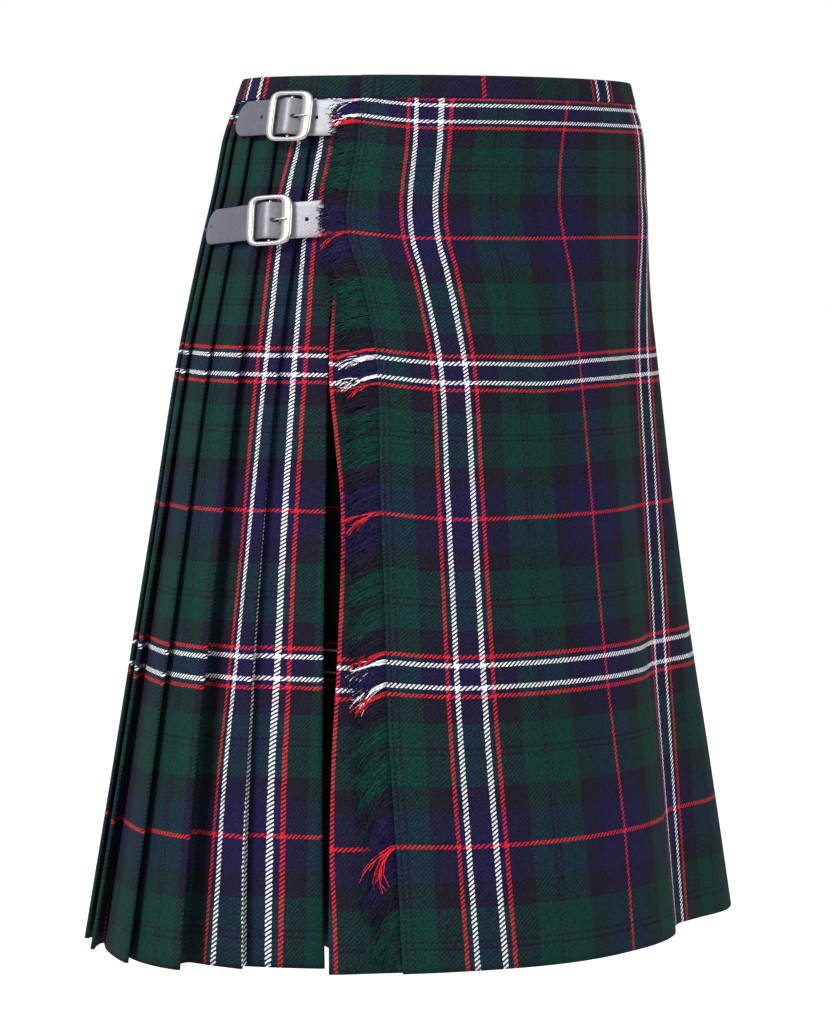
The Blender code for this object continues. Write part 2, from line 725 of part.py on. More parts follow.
def prong_object(name, axes, material, collection):
    """A loop round the centre bar and a tongue that rests on the right side of the frame."""
    origin, along, up, outward = axes

    def place(x, y, h):
        return origin + along * x + up * y + outward * h

    bm = bmesh.new()
    count = 20
    inside = BAR_RADIUS + 0.0002
    outside = inside + 0.0013
    half = 0.0013
    rings = []
    for i in range(count):
        a = 2 * math.pi * i / count
        corner = []
        for r, y in ((inside, -half), (outside, -half), (outside, half), (inside, half)):
            corner.append(bm.verts.new(place(r * math.cos(a), y, BAR_HEIGHT + r * math.sin(a))))
        rings.append(corner)
    for i in range(count):
        a, b = rings[i], rings[(i + 1) % count]
        for k in range(4):
            j = (k + 1) % 4
            bm.faces.new((a[k], a[j], b[j], b[k]))
    loop = add_object(name, bm, material, collection)
    line = ((-0.0014, 0.0053), (-0.0036, 0.0059), (-0.0068, 0.0075), (-0.0100, 0.0090), (-0.0172, 0.0093))
    tongue = tube_object(name + "_tongue", [place(x, 0.0, h) for x, h in line], PRONG_RADIUS, 2, material, collection)
    join_bodies(loop, tongue)
    return loop


def build():
    for obj in list(bpy.data.objects):
        bpy.data.objects.remove(obj)
    collection = bpy.data.collections.new("scottish_kilt")
    bpy.context.scene.collection.children.link(collection)
    wool = new_material("tartan_wool", (0.020, 0.060, 0.040), 0.9, 0.0)
    yarn = new_material("wool_fringe", (0.018, 0.050, 0.034), 0.95, 0.0)
    leather = new_material("strap_leather", (0.10, 0.10, 0.11), 0.55, 0.0)
    nickel = new_material("polished_nickel", (0.72, 0.71, 0.69), 0.18, 1.0)
    depths = panel_depths()
    add_object("waistband", cloth_wall(waistband_path, (0.0, BAND_DEPTH / 2, BAND_DEPTH), BAND_WALL), wool, collection)
    add_object("outer_apron", cloth_wall(outer_apron_path, depths), wool, collection)
    add_object("pleated_back", cloth_wall(pleated_back_path, depths), wool, collection)
    add_object("under_apron", cloth_wall(under_apron_path, depths), wool, collection)
    add_object("apron_fringe", fringe_mesh(), yarn, collection)
    for row in STRAPS:
        frame = StrapFrame(row)
        axes = frame.axes(0.0)
        origin, along, up, outward = axes
        add_object("strap_" + frame.name, strap_mesh(frame), leather, collection)
        add_object("buckle_tab_" + frame.name, tab_mesh(frame), leather, collection)
        buckle = add_object("buckle_" + frame.name, buckle_frame_mesh(axes), nickel, collection)
        reach = OPENING_HEIGHT / 2 + 0.0017
        ends = [origin + up * y + outward * BAR_HEIGHT for y in (-reach, reach)]
        bar = tube_object("bar_" + frame.name, ends, BAR_RADIUS, 3, nickel, collection)
        join_bodies(buckle, bar)
        prong_object("prong_" + frame.name, axes, nickel, collection)


build()
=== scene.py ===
import math
import random

import bmesh
import bpy
import numpy as np
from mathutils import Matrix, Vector


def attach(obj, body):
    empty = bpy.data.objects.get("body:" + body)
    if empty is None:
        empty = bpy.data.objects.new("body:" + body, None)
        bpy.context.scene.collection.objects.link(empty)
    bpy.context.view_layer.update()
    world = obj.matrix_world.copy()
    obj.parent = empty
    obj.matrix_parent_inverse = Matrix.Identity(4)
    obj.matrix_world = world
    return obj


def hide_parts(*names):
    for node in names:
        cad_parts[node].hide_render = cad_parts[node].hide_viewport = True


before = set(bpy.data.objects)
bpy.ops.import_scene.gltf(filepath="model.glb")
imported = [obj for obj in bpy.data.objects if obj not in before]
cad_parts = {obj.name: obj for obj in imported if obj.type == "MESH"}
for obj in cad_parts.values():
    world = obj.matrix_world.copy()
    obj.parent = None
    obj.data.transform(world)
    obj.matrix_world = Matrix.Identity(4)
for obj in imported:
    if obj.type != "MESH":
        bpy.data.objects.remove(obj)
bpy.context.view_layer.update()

kilt = {
    "length": 0.610,  # waist to hem, metres
    "waistHalfWidth": 0.164,
    "waistHalfDepth": 0.1265,
    "bandDepth": 0.016,
    "seam": 0.0003,
    "layer": 0.0020,  # spacing of folded layers
    "cloth": 0.0012,  # thickness of the cloth
    "foldRound": 0.0016,
    "stitchedDepth": 0.120,  # pleats are sewn down to here
    "edgeLift": 0.055,  # the pattern rises towards the fringed edge, in half-setts
    # size, the angle where it is full, its spread
    "hipDroop": (0.006, -100.0, 24.0),
    "backDroop": (0.014, -139.0, 14.0),  # the back right hangs lower
    "waistNip": (0.0068, -135.0, 42.0),  # the band pulls in at the back of the right hip
    "hipRise": (0.0046, 44.0, 26.0),  # the left hip fills out below the band
}

# angle from the wearer's front in degrees, hem radius
hemRing = (
    (-180, 0.236), (-150, 0.243), (-135, 0.253), (-120, 0.268), (-109, 0.278), (-96, 0.276),
    (-84, 0.262), (-66, 0.248), (-50, 0.234), (-30, 0.222), (-10, 0.208), (0, 0.203),
    (10, 0.196), (22, 0.185), (31, 0.196), (42, 0.218), (60, 0.230), (75, 0.240),
    (90, 0.248), (110, 0.254), (135, 0.246), (160, 0.238), (180, 0.236),
)
# depth, share of the flare reached at the front, at the back
flareRows = (
    (0.0, 0.0, 0.0), (0.03, 0.07, 0.065), (0.08, 0.12, 0.15), (0.12, 0.15, 0.235),
    (0.20, 0.27, 0.385), (0.30, 0.42, 0.53), (0.40, 0.59, 0.68), (0.50, 0.79, 0.83),
    (0.61, 1.0, 1.0),
)
# depth, angles of the apron's right edge, first stripe group, red line, second group, left fold
warpLines = (
    (0.016, -68.7, -52.1, -4.3, 41.8, 78.0), (0.048, -68.9, -52.4, -8.8, 41.8, 78.0),
    (0.086, -70.7, -53.4, -10.9, 41.6, 78.0), (0.112, -70.1, -52.8, -9.5, 41.2, 77.5),
    (0.140, -66.8, -50.2, -7.3, 38.5, 77.0), (0.200, -62.8, -46.0, -6.8, 33.0, 75.0),
    (0.275, -61.5, -44.7, -6.6, 30.9, 73.0), (0.370, -59.8, -43.5, -7.0, 28.5, 70.0),
    (0.440, -58.7, -42.7, -7.2, 26.1, 68.0), (0.527, -56.7, -41.4, -6.9, 24.1, 65.0),
    (0.610, -55.2, -40.1, -7.9, 23.1, 63.0),
)
# depth, angle of the under apron's folded edge, how far it stands in from the ring
underEdge = (
    (0.016, -72.0, 0.0052), (0.140, -73.2, 0.0052), (0.190, -73.2, 0.0040), (0.215, -72.6, 0.0034),
    (0.250, -71.0, 0.0030), (0.300, -69.0, 0.0026),
    (0.390, -68.3, 0.0022), (0.465, -68.3, 0.0022), (0.570, -67.4, 0.0022), (0.610, -66.9, 0.0022),
)
# waist angle, hem angle, waist and hem set-back, hem step, bow
hipPleats = (
    (252.0, 247.6, 0.0004, 0.002, 0.016, -1.0),
    (260.9, 258.4, 0.0012, 0.004, 0.012, -1.2),
    (269.6, 268.3, 0.0028, 0.006, 0.026, -1.9),
    (279.6, 276.7, 0.0045, 0.019, 0.010, -3.65),
    (285.7, 290.4, 0.0050, 0.024, 0.0, -1.4),
)
pleats = {
    "count": 23, "waistStep": 0.0047, "waistLap": 0.007, "hemLap": 0.019, "hemStep": 0.018,
    "unevenAngle": 0.55, "unevenDepth": 0.0012, "unevenStep": 0.003, "slack": 0.0016,
    "lift": 0.0055,  # the pattern sits a little higher on the pleats than on the apron
    "hipFolds": (-0.235, -0.40),  # marks at the third and fourth fold from the right hip
    "restart": 0.28,  # the green shows on four pleats in a row behind the hip
    "panelPoints": 9,
}
deepPleat = {
    "angle": 25.0, "waistAngle": 4.5, "drop": 0.105, "waistDrop": 0.0012, "seamDrop": 0.052,
    "ease": 0.0003,
}
# how a fold turns: share of the rounding, share of the spacing of its layers
foldTurn = ((1.0, 0.0), (0.3, 0.175), (0.0, 0.5), (0.3, 0.825), (1.0, 1.0))
pleatTurn = ((1.0, 0.0), (0.3, 0.18), (0.0, 0.5), (0.3, 0.82), (1.0, 1.0))

# depth, angles of the last pleats' red, white, soft fold, white and red lines
hipStripes = (
    (0.016, -85.4, -83.1, -80.9, -78.2, -74.9), (0.048, -86.4, -84.1, -81.7, -79.2, -75.8),
    (0.079, -88.4, -86.2, -82.4, -81.0, -77.5), (0.121, -89.1, -86.7, -83.3, -81.8, -78.8),
    (0.169, -89.3, -86.9, -84.1, -82.0, -78.8), (0.271, -89.9, -87.8, -85.3, -82.3, -79.3),
    (0.340, -90.0, -88.5, -85.6, -82.3, -79.4), (0.396, -90.5, -89.0, -85.6, -82.0, -79.2),
    (0.478, -91.5, -89.9, -85.1, -81.9, -78.8), (0.540, -91.7, -89.9, -84.5, -81.1, -78.1),
    (0.610, -91.9, -89.8, -83.3, -80.1, -77.3),
)

tartan = {
    "halfSett": 0.117,  # metres across the warp from stripe group to single line
    "weftSett": 0.100,  # about the same step down the cloth
    "twillAcross": 0.0033,  # real twill is near 0.0015, drawn coarser so that it shows
    "twillDown": 0.0026,
    "green": "#10302a", "black": "#1a1823", "navy": "#1b1838",
    "white": "#e3e1e8", "red": "#c2212b",
    "sheen": 0.02, "roughness": 0.88, "specular": 0.04,
    "shake": 0.008,  # how unevenly the yarns run, in half-setts
    "lineEdge": 1.9,  # how crisply the twill breaks up the bright lines
    "groundEdge": 0.5,  # and the ground
    "fuzz": 3.0, "fuzzLevel": -0.48,
    "noise": {"shake": 260.0, "strand": 1100.0, "fuzz": 900.0, "yarn": 1400.0},  # cells to a metre
}
whiteMark = 0.0655  # middle of a group's white line
redMark = 0.12
# share of the half-sett from a stripe group's middle to the single red line
sett = (
    (0.0, "navy"), (0.052, "white"), (0.079, "navy"), (0.108, "red"), (0.132, "black"),
    (0.285, "green"), (0.425, "black"), (0.438, "green"), (0.462, "black"), (0.476, "green"),
    (0.655, "black"), (0.800, "navy"), (0.985, "red"),
)
# a group's lines lie wider across the apron: places there, places in the sett
groupLines = ((0.0, 0.078, 0.14, 0.5), (0.0, whiteMark, redMark, 0.5))
# a line down the cloth lies at start + halfSett * n + growth * n * n, in millimetres
weftLines = {"start": 26.8, "halfSett": 82.12, "growth": 3.58}

front = {
    "columns": (16, 34, 34, 30),  # points between the measured lines
    "marks": (-0.5, 0.0, 1.0, 2.0),  # at the edge, first group, red line and second group
    "turnUnder": 0.022,  # width behind the left fold
    "ripple": 0.0011, "fineRipple": 0.0005,
    "pucker": (0.0016, 44.0, 0.083, 6.0, 0.010),  # size, angle, depth, width, height
    "sag": (0.019, -20.0, 0.20, 13.0, 0.07),  # the weft lines dip a little here
}
lining = {
    "columns": 70, "edgeMark": 0.112, "inside": 0.0052, "freeEdge": 56.0, "hemNarrower": 10.0,
}
strip = {
    "columns": 420, "sides": 18, "halfThick": 0.0014, "corners": (0.55, 0.62),
    "innerEnd": 56.0,  # angle after one full turn
    "inside": 0.0064, "insideFrom": 325.0, "insideTo": 352.0,
    "topMark": 0.69, "marksPerMetre": 8.5,
    # up to an angle: a mark of the pattern, the angle where it lies, degrees to a half-sett
    "parts": ((100.0, 1.0, -36.0, 52.0), (200.0, 3.615, 100.0, 1 / 0.0308),
              (420.0, 8.0, 258.0, 44.5)),
}

fringe = {
    "strands": 2600, "radius": 0.00040, "sides": 4, "bends": 8, "seed": 11,
    "curl": 0.0016, "roll": 0.0007,
    "sway": 4.0,  # degrees that the fall changes slowly down the edge
    "clumpFall": 8.0,  # and from clump to clump
    "scatter": 8.0,  # and from strand to strand
    "highest": -12.0,
    "rootGap": 0.0006, "hemGap": 0.0045, "tipGap": 0.0015,  # band to roots, roots and tips to hem
    "under": 0.0008, "arch": 0.0021, "clumpLift": 0.0010,
    "brightLift": 0.0012,  # the bright yarns lie on top
    "bright": (0.14, 0.98),  # marks up to a group's end, and from the single red line on
    # painted shade on the yarns' roots, where they come from under the apron's edge
    "rootShade": 0.55,
}
stitch = {"length": 0.0024, "pitch": 0.0040, "radius": 0.00028, "fromEdge": 0.7, "mark": (0.4, 0.2)}

straps = (
    {"name": "upper", "rootDepth": 0.0298, "tipDepth": 0.0296, "bar": -86.3, "tip": -105.5,
     "holes": (-0.0195, -0.0050, 0.0105, 0.0240)},
    {"name": "lower", "rootDepth": 0.0990, "tipDepth": 0.1060, "bar": -88.6, "tip": -110.5,
     "holes": (-0.0265, -0.0050, 0.0120, 0.0620)},
)
leather = {
    "width": 0.0255, "wall": 0.0022, "holeRadius": 0.0015, "prongHole": 1.8, "prongPlace": -0.0050,
    "rootAngle": -76.0, "root": -0.060, "step": 0.0009, "tipPart": 0.004, "sides": 36,
    "corners": (0.28, 0.6),
    "overFolds": 0.0007, "reach": 90,  # millimetres either way from the buckle's bar
    # the strap is lighter on the root's side of the buckle's bar
    "color": "#55535f", "worn": "#8f8c95", "roughness": 0.36,
    "wornFrom": -0.012, "wornTo": 0.014,
    "grain": 1300.0, "pores": 500.0,  # cells to a metre
    "poreDepth": 0.7, "poreLevel": 0.65,
    # painted highlight on the top of the strap's hump over the buckle's bar and painted shade on its
    # slopes: place along the hump, 0.5 at the bar and 0.03 to a millimetre, and brightness
    "humpShading": ((0.0, 1.0), (0.13, 0.95), (0.25, 0.62), (0.42, 0.70), (0.50, 1.15), (0.58, 0.70),
             (0.72, 0.50), (0.85, 0.62), (0.93, 1.0)),
    "humpShadingScale": 30.0,
}
# depth of a strand's root, how far it falls in degrees, its length
fringeFall = (
    (0.016, 7.0, 0.022), (0.055, 9.0, 0.019), (0.095, 10.0, 0.020), (0.126, 27.0, 0.024),
    (0.160, 16.0, 0.025), (0.200, 10.0, 0.025), (0.240, 18.0, 0.026), (0.310, 26.0, 0.027),
    (0.360, 30.0, 0.028), (0.420, 26.0, 0.028), (0.470, 48.0, 0.031), (0.540, 58.0, 0.034),
    (0.600, 60.0, 0.034),
)
# distance from the buckle's bar towards the back, height of the strap's middle over the pleats
strapRide = (
    (-0.060, 0.0010), (-0.053, 0.0010), (-0.046, 0.0011), (-0.038, 0.0014), (-0.030, 0.0015),
    (-0.020, 0.0015), (-0.0125, 0.0017), (-0.0095, 0.0024), (-0.0065, 0.0044),
    (-0.0035, 0.0069), (0.0, 0.0083), (0.0035, 0.0075), (0.0070, 0.0053), (0.0105, 0.0034),
    (0.0140, 0.0031), (0.0240, 0.0031), (0.0300, 0.0020), (0.0360, 0.0015), (0.0500, 0.0015),
)
# the tab's two ends as distance from the bar and height over the pleats
tab = {
    "width": 0.0230, "slot": 0.0040, "wall": 0.0012, "gap": 0.0002,
    "under": ((0.034, 0.0004), (0.016, 0.0006), (0.008, 0.0009)),
    "over": ((0.0085, 0.0030), (0.016, 0.0023), (0.034, 0.0021)),
}
buckle = {
    "length": 0.036, "height": 0.036, "openLength": 0.0215, "openHeight": 0.0290,
    "rightBar": 0.0085, "bottom": 0.0042, "top": 0.0080, "barRadius": 0.0012,
    "barHeight": 0.0036, "barEnd": 0.0017, "color": "#cfcecf", "roughness": 0.24,
    "outerCorner": 4.6, "innerCorner": 8.0,  # higher is squarer
    "edge": 0.85, "points": 120, "sides": 20,
}
prong = {
    "radius": 0.0008, "loopRadius": 0.0006, "loopGap": 0.0008,
    # distance from the bar, height over the pleats
    "line": (
        (-0.0014, 0.0053), (-0.0024, 0.0055), (-0.0036, 0.0060), (-0.0052, 0.0068),
        (-0.0068, 0.0076), (-0.0086, 0.0085), (-0.0102, 0.0090), (-0.0130, 0.0092),
        (-0.0160, 0.0093), (-0.0172, 0.0093),
    ),
}

studio = {
    "room": 0.62,  # light from all round, against the white that is seen
    "paper": "#cfcfcf", "paperGlow": 0.66,
    "floor": -1.05,  # the wearer's own floor, the kilt hangs from the waist
    "floorSize": 30.0,
    "aim": (0.0, 0.0, -0.3),
    "lamps": (
        ("key", (-2.55, 0.05, 1.4), 1.3, 92.0),
        ("fill", (-0.20, -2.90, 0.6), 1.8, 24.0),
        ("side", (2.30, -1.60, 0.4), 1.4, 14.0),
    ),
}
camera = {
    "azimuth": -50.0, "distance": 2.750, "height": -0.100, "focal": 3752.0,
    "width": 827, "horizon": 220.0, "middle": 512.0, "axis": 435.0, "sensor": 36.0,
}


def readTable(table, x, column=1):
    last = len(table) - 1
    i = 0
    while i < last - 1 and x > table[i + 1][0]:
        i += 1

    def slope(k):
        a = table[max(k - 1, 0)]
        b = table[min(k + 1, last)]
        return (b[column] - a[column]) / (b[0] - a[0])

    span = table[i + 1][0] - table[i][0]
    s = min(max((x - table[i][0]) / span, 0.0), 1.0)
    start = (1 + 2 * s) * (1 - s) ** 2 * table[i][column] + s * (1 - s) ** 2 * span * slope(i)
    end = s * s * (3 - 2 * s) * table[i + 1][column] + s * s * (s - 1) * span * slope(i + 1)
    return start + end


def ease(low, high, x):
    s = min(max((x - low) / (high - low), 0.0), 1.0)
    return s * s * (3 - 2 * s)


def turn(angle):
    return (angle + 180.0) % 360.0 - 180.0


def bulge(angle, shape):
    size, middle, spread = shape
    return size * math.exp(-((turn(angle - middle) / spread) ** 2))


def spot(angle, depth, shape):
    size, middle, level, width, height = shape
    return size * math.exp(-((angle - middle) / width) ** 2 - ((depth - level) / height) ** 2)


def circle(count, shift=0.0):
    turns = [2 * math.pi * (i + shift) / count for i in range(count)]
    return [(math.cos(a), math.sin(a)) for a in turns]


def blunt(value, power):
    # a sine or cosine pushed outwards, which squares a round section
    return math.copysign(abs(value) ** power, value)


def ringRadius(angle, depth):
    a = math.radians(angle)
    across = math.sin(a) / kilt["waistHalfWidth"]
    waist = 1.0 / math.hypot(across, math.cos(a) / kilt["waistHalfDepth"])
    waist -= bulge(angle, kilt["waistNip"]) * (1 - ease(0.0, 0.050, depth))
    hip = bulge(angle, kilt["hipRise"])
    waist += hip * ease(0.004, 0.045, depth) * (1 - ease(0.085, 0.180, depth))
    back = ease(60.0, 110.0, abs(turn(angle - 10.0)))
    flare = readTable(flareRows, depth, 1) * (1 - back) + readTable(flareRows, depth, 2) * back
    return waist + (readTable(hemRing, turn(angle)) - waist) * flare


def plan(angle, radius):
    a = math.radians(angle)
    return Vector((radius * math.sin(a), -radius * math.cos(a)))


def onRing(angle, depth, out=0.0):
    return plan(angle, ringRadius(angle, depth) + out)


def inSpace(p, depth):
    return Vector((p.x, p.y, -depth))


def droop(x, y, depth):
    angle = math.degrees(math.atan2(x, -y))
    flare = max(depth, 0.0) / kilt["length"]
    back = bulge(angle, kilt["backDroop"])
    return bulge(angle, kilt["hipDroop"]) * flare ** 3 + back * flare ** 1.7


def edgeLift(depth):
    return kilt["edgeLift"] * (1.0 - 0.8 * ease(0.25, 0.60, depth))


def weftCount(depth):
    # half-setts down the cloth, even at a stripe group
    step = weftLines["halfSett"]
    growth = weftLines["growth"]
    root = step ** 2 + 4 * growth * (depth * 1000.0 - weftLines["start"])
    return (math.sqrt(max(root, 1.0)) - step) / (2 * growth)


def halfSetts(degrees, radius):
    # an arc of the ring counted in half-setts of the warp
    return math.radians(degrees) * radius / tartan["halfSett"]


def linear(hexText):
    out = []
    for i in (1, 3, 5):
        c = int(hexText[i:i + 2], 16) / 255.0
        out.append(c / 12.92 if c <= 0.04045 else ((c + 0.055) / 1.055) ** 2.4)
    return (*out, 1.0)


def setInputs(tree, node, inputs):
    for key, value in inputs.items():
        if isinstance(value, bpy.types.NodeSocket):
            tree.links.new(value, node.inputs[key])
        else:
            node.inputs[key].default_value = value


def addNode(tree, kind, inputs=None, **settings):
    node = tree.nodes.new(kind)
    for key, value in settings.items():
        setattr(node, key, value)
    setInputs(tree, node, inputs or {})
    return node


def math2(tree, operation, a, b=0.0, c=0.0, clamp=False):
    node = addNode(tree, "ShaderNodeMath", {0: a, 1: b, 2: c}, operation=operation, use_clamp=clamp)
    return node.outputs[0]


def newMaterial(name):
    material = bpy.data.materials.new(name)
    material.use_nodes = True
    return material, material.node_tree, material.node_tree.nodes["Principled BSDF"]


def settRamp(tree, count):
    folded = math2(tree, "PINGPONG", count, 1.0)
    node = addNode(tree, "ShaderNodeValToRGB", {0: folded})
    ramp = node.color_ramp
    ramp.interpolation = "CONSTANT"
    ramp.elements[1].position = sett[1][0]
    for place, _ in sett[2:]:
        ramp.elements.new(place)
    for element, (_, color) in zip(ramp.elements, sett):
        bright = 1.0 if color in ("white", "red") else 0.0
        element.color = (*linear(tartan[color])[:3], bright)
    return node.outputs  # the yarn's colour, and in the alpha whether it is a bright line


def noiseNode(tree, place, scale, detail=2.0, roughness=0.5):
    inputs = {"Vector": place, "Scale": scale, "Detail": detail, "Roughness": roughness}
    return addNode(tree, "ShaderNodeTexNoise", inputs).outputs[0]


def mixColors(tree, share, a, b):
    return addNode(tree, "ShaderNodeMix", {0: share, 6: a, 7: b}, data_type="RGBA").outputs[2]


def brighten(tree, color, value):
    return addNode(tree, "ShaderNodeHueSaturation", {"Value": value, "Color": color}).outputs[0]


def readMarks(tree):
    # the two marks kept in the UV map, and the place on the object
    uv = addNode(tree, "ShaderNodeUVMap", uv_map="weave")
    parts = addNode(tree, "ShaderNodeSeparateXYZ", {0: uv.outputs[0]})
    return parts.outputs[0], parts.outputs[1], addNode(tree, "ShaderNodeTexCoord").outputs["Object"]


def bumpNode(tree, height, strength):
    inputs = {"Strength": strength, "Distance": 0.0003, "Height": height}
    return addNode(tree, "ShaderNodeBump", inputs).outputs[0]


def woolMaterial(name, woven):
    material, tree, shader = newMaterial(name)
    across, down, place = readMarks(tree)
    cells = tartan["noise"]
    if woven:
        wobble = noiseNode(tree, place, cells["shake"], 1.0)
        shake = math2(tree, "MULTIPLY_ADD", wobble, tartan["shake"], -tartan["shake"] / 2)
        warp = settRamp(tree, math2(tree, "ADD", across, shake))
        weft = settRamp(tree, math2(tree, "ADD", down, shake))
        phase = math2(tree, "MULTIPLY", across, tartan["halfSett"] / tartan["twillAcross"])
        phase = math2(tree, "MULTIPLY_ADD", down, tartan["weftSett"] / tartan["twillDown"], phase)
        height = math2(tree, "SINE", math2(tree, "MULTIPLY", phase, 2 * math.pi))
        strand = noiseNode(tree, place, cells["strand"], 1.0)
        middle = math2(tree, "MULTIPLY_ADD", strand, 2.0, -0.5)
        line = math2(tree, "MULTIPLY_ADD", height, tartan["lineEdge"], middle, clamp=True)
        ground = math2(tree, "MULTIPLY_ADD", height, tartan["groundEdge"], middle, clamp=True)
        bright = math2(tree, "MAXIMUM", warp[1], weft[1])
        over = addNode(tree, "ShaderNodeMix", {0: bright, 2: ground, 3: line}).outputs[0]
        color = mixColors(tree, over, warp[0], weft[0])
    else:
        value = math2(tree, "MULTIPLY_ADD", across, 0.9, 0.65)  # each yarn's own brightness, with painted shade at its root
        color = brighten(tree, settRamp(tree, down)[0], value)
        height = noiseNode(tree, place, cells["yarn"])
    fuzz = noiseNode(tree, place, cells["fuzz"], 3.0, 0.7)
    value = math2(tree, "MULTIPLY_ADD", fuzz, tartan["fuzz"], tartan["fuzzLevel"])
    setInputs(tree, shader, {
        "Base Color": brighten(tree, color, value), "Normal": bumpNode(tree, height, 0.35),
        "Roughness": tartan["roughness"], "Specular IOR Level": tartan["specular"],
        "Sheen Weight": tartan["sheen"], "Sheen Roughness": 0.5,
    })
    return material


def leatherMaterial():
    material, tree, shader = newMaterial("grained_black_leather")
    along, _, place = readMarks(tree)
    # lighter colour on the root's side of the buckle's bar
    worn = addNode(
        tree, "ShaderNodeMapRange",
        {"Value": along, "From Min": leather["wornFrom"], "From Max": leather["wornTo"],
         "To Min": 1.0, "To Max": 0.0},
        interpolation_type="SMOOTHSTEP",
    ).outputs[0]
    color = mixColors(tree, worn, linear(leather["color"]), linear(leather["worn"]))
    grain = addNode(tree, "ShaderNodeTexVoronoi", {"Vector": place, "Scale": leather["grain"]})
    pores = noiseNode(tree, place, leather["pores"], 4.0)
    # painted highlight and shade along the strap's hump over the bar
    humpShadingPlace = math2(tree, "MULTIPLY_ADD", along, leather["humpShadingScale"], 0.5)
    humpShading = addNode(tree, "ShaderNodeValToRGB", {0: humpShadingPlace})
    for at, _ in leather["humpShading"][1:-1]:
        humpShading.color_ramp.elements.new(at)
    for element, (at, level) in zip(humpShading.color_ramp.elements, leather["humpShading"]):
        element.position = at
        element.color = (level, level, level, 1.0)
    value = math2(tree, "MULTIPLY_ADD", pores, leather["poreDepth"], leather["poreLevel"])
    value = math2(tree, "MULTIPLY", value, humpShading.outputs[0])
    setInputs(tree, shader, {
        "Base Color": brighten(tree, color, value), "Roughness": leather["roughness"],
        "Normal": bumpNode(tree, grain.outputs[0], 0.25),
    })
    return material


def nickelMaterial():
    material, tree, shader = newMaterial("polished_nickel_plate")
    color = linear(buckle["color"])
    inputs = {"Base Color": color, "Metallic": 1.0, "Roughness": buckle["roughness"]}
    setInputs(tree, shader, inputs)
    return material


def addObject(name, data):
    obj = bpy.data.objects.new(name, data)
    bpy.context.scene.collection.objects.link(obj)
    return obj


def meshObject(name, verts, faces, marks, material, wall=0.0):
    # one smooth mesh with a mark for each point, and a wall where it is a thin sheet
    mesh = bpy.data.meshes.new(name)
    mesh.from_pydata([tuple(v) for v in verts], [], faces)
    layer = mesh.uv_layers.new(name="weave")
    if marks:
        flat = np.array(marks, dtype=np.float32)
        index = np.empty(len(mesh.loops), dtype=np.int32)
        mesh.loops.foreach_get("vertex_index", index)
        layer.data.foreach_set("uv", flat[index].ravel())
    mesh.shade_smooth()
    mesh.materials.append(material)
    obj = addObject(name, mesh)
    if wall:
        thick = obj.modifiers.new("wall", "SOLIDIFY")
        thick.thickness = wall
        thick.offset = 0.0
    return obj


def gridObject(name, rows, marks, material, wall=0.0, closed=False):
    # rows of points and their tartan marks, joined into one sheet
    width = len(rows[0])
    faces = []
    for r in range(len(rows) - 1):
        for c in range(width if closed else width - 1):
            d = (c + 1) % width
            faces.append((r * width + c, (r + 1) * width + c, (r + 1) * width + d, r * width + d))
    points = [p for row in rows for p in row]
    return meshObject(name, points, faces, [m for row in marks for m in row], material, wall)


def closeEnds(obj):
    bm = bmesh.new()
    bm.from_mesh(obj.data)
    bmesh.ops.holes_fill(bm, edges=[e for e in bm.edges if e.is_boundary])
    bmesh.ops.recalc_face_normals(bm, faces=bm.faces)
    bm.to_mesh(obj.data)
    bm.free()


def sewOn(obj, node):
    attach(obj, "root")
    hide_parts(node)


def foldPoints(angle, depth, inward, toward):
    tip = math.degrees(kilt["foldRound"] / ringRadius(angle, depth)) * toward
    return [
        onRing(angle - tip * back, depth, -inward - kilt["layer"] * s) for back, s in foldTurn
    ]


def apronRipple(angle, depth):
    low = (depth / kilt["length"]) ** 2
    wave = math.sin(math.radians(angle * 5.0 + 40.0) + depth * 2.0)
    fine = math.sin(math.radians(angle * 11.0) + 9.0 * depth)
    pucker = spot(angle, depth, front["pucker"])
    return front["ripple"] * low * wave + front["fineRipple"] * low * fine - pucker


def outerApron(depth):
    points = []
    marks = []
    lines = [readTable(warpLines, depth, k) for k in range(1, 6)]
    steps = front["marks"]
    down = weftCount(depth)
    for k, count in enumerate(front["columns"]):
        for i in range(count):
            s = i / count
            angle = lines[k] + (lines[k + 1] - lines[k]) * s
            if k < 3:
                mark = steps[k] + (steps[k + 1] - steps[k]) * s
            else:
                mark = steps[3] + halfSetts(angle - lines[3], ringRadius(angle, depth))
            if mark < 0.5:
                mark = math.copysign(np.interp(abs(mark), *groupLines), mark)
            points.append(onRing(angle, depth, apronRipple(angle, depth)))
            sag = spot(angle, depth, front["sag"])
            near = (1.0 - s) ** 1.5 if k == 0 else 0.0
            marks.append((mark, down - sag + edgeLift(depth) * near))
    fold = lines[4]
    last = marks[-1][0]
    points += foldPoints(fold, depth, 0.0, 1)
    marks += [(last + 0.01 * i, down) for i in range(1, 6)]
    width = math.degrees(front["turnUnder"] / ringRadius(fold, depth))
    for s in (0.33, 0.66, 1.0):
        points.append(onRing(fold - width * s, depth, -kilt["layer"] - deepPleat["ease"] * s))
        marks.append((last + 0.06 + 0.18 * s, down))
    return points, marks


def pleatRows():
    # the pleats round the back, a little uneven, and then the measured ones
    plain = pleats["count"] - len(hipPleats)
    first = hipPleats[0]
    waistFold = warpLines[0][5]
    hemFold = warpLines[-1][5]
    rows = []
    for k in range(1, plain + 1):
        share = k / (plain + 1)
        uneven = math.sin(2.4 * k) + 0.6 * math.sin(5.3 * k + 1.0)
        waist = waistFold + (first[0] - waistFold) * share
        hem = hemFold + (first[1] - hemFold) * share + pleats["unevenAngle"] * uneven
        inward = first[3] + pleats["unevenDepth"] * uneven
        step = pleats["hemStep"] + pleats["unevenStep"] * uneven
        rows.append((waist, hem, first[2], inward, step, 0.0))
    return rows + list(hipPleats)


allPleats = pleatRows()


def belowStitching(depth):
    stitched = kilt["stitchedDepth"]
    return max(0.0, (depth - stitched) / (kilt["length"] - stitched))


def deepShare(depth):
    return belowStitching(depth) ** 1.15


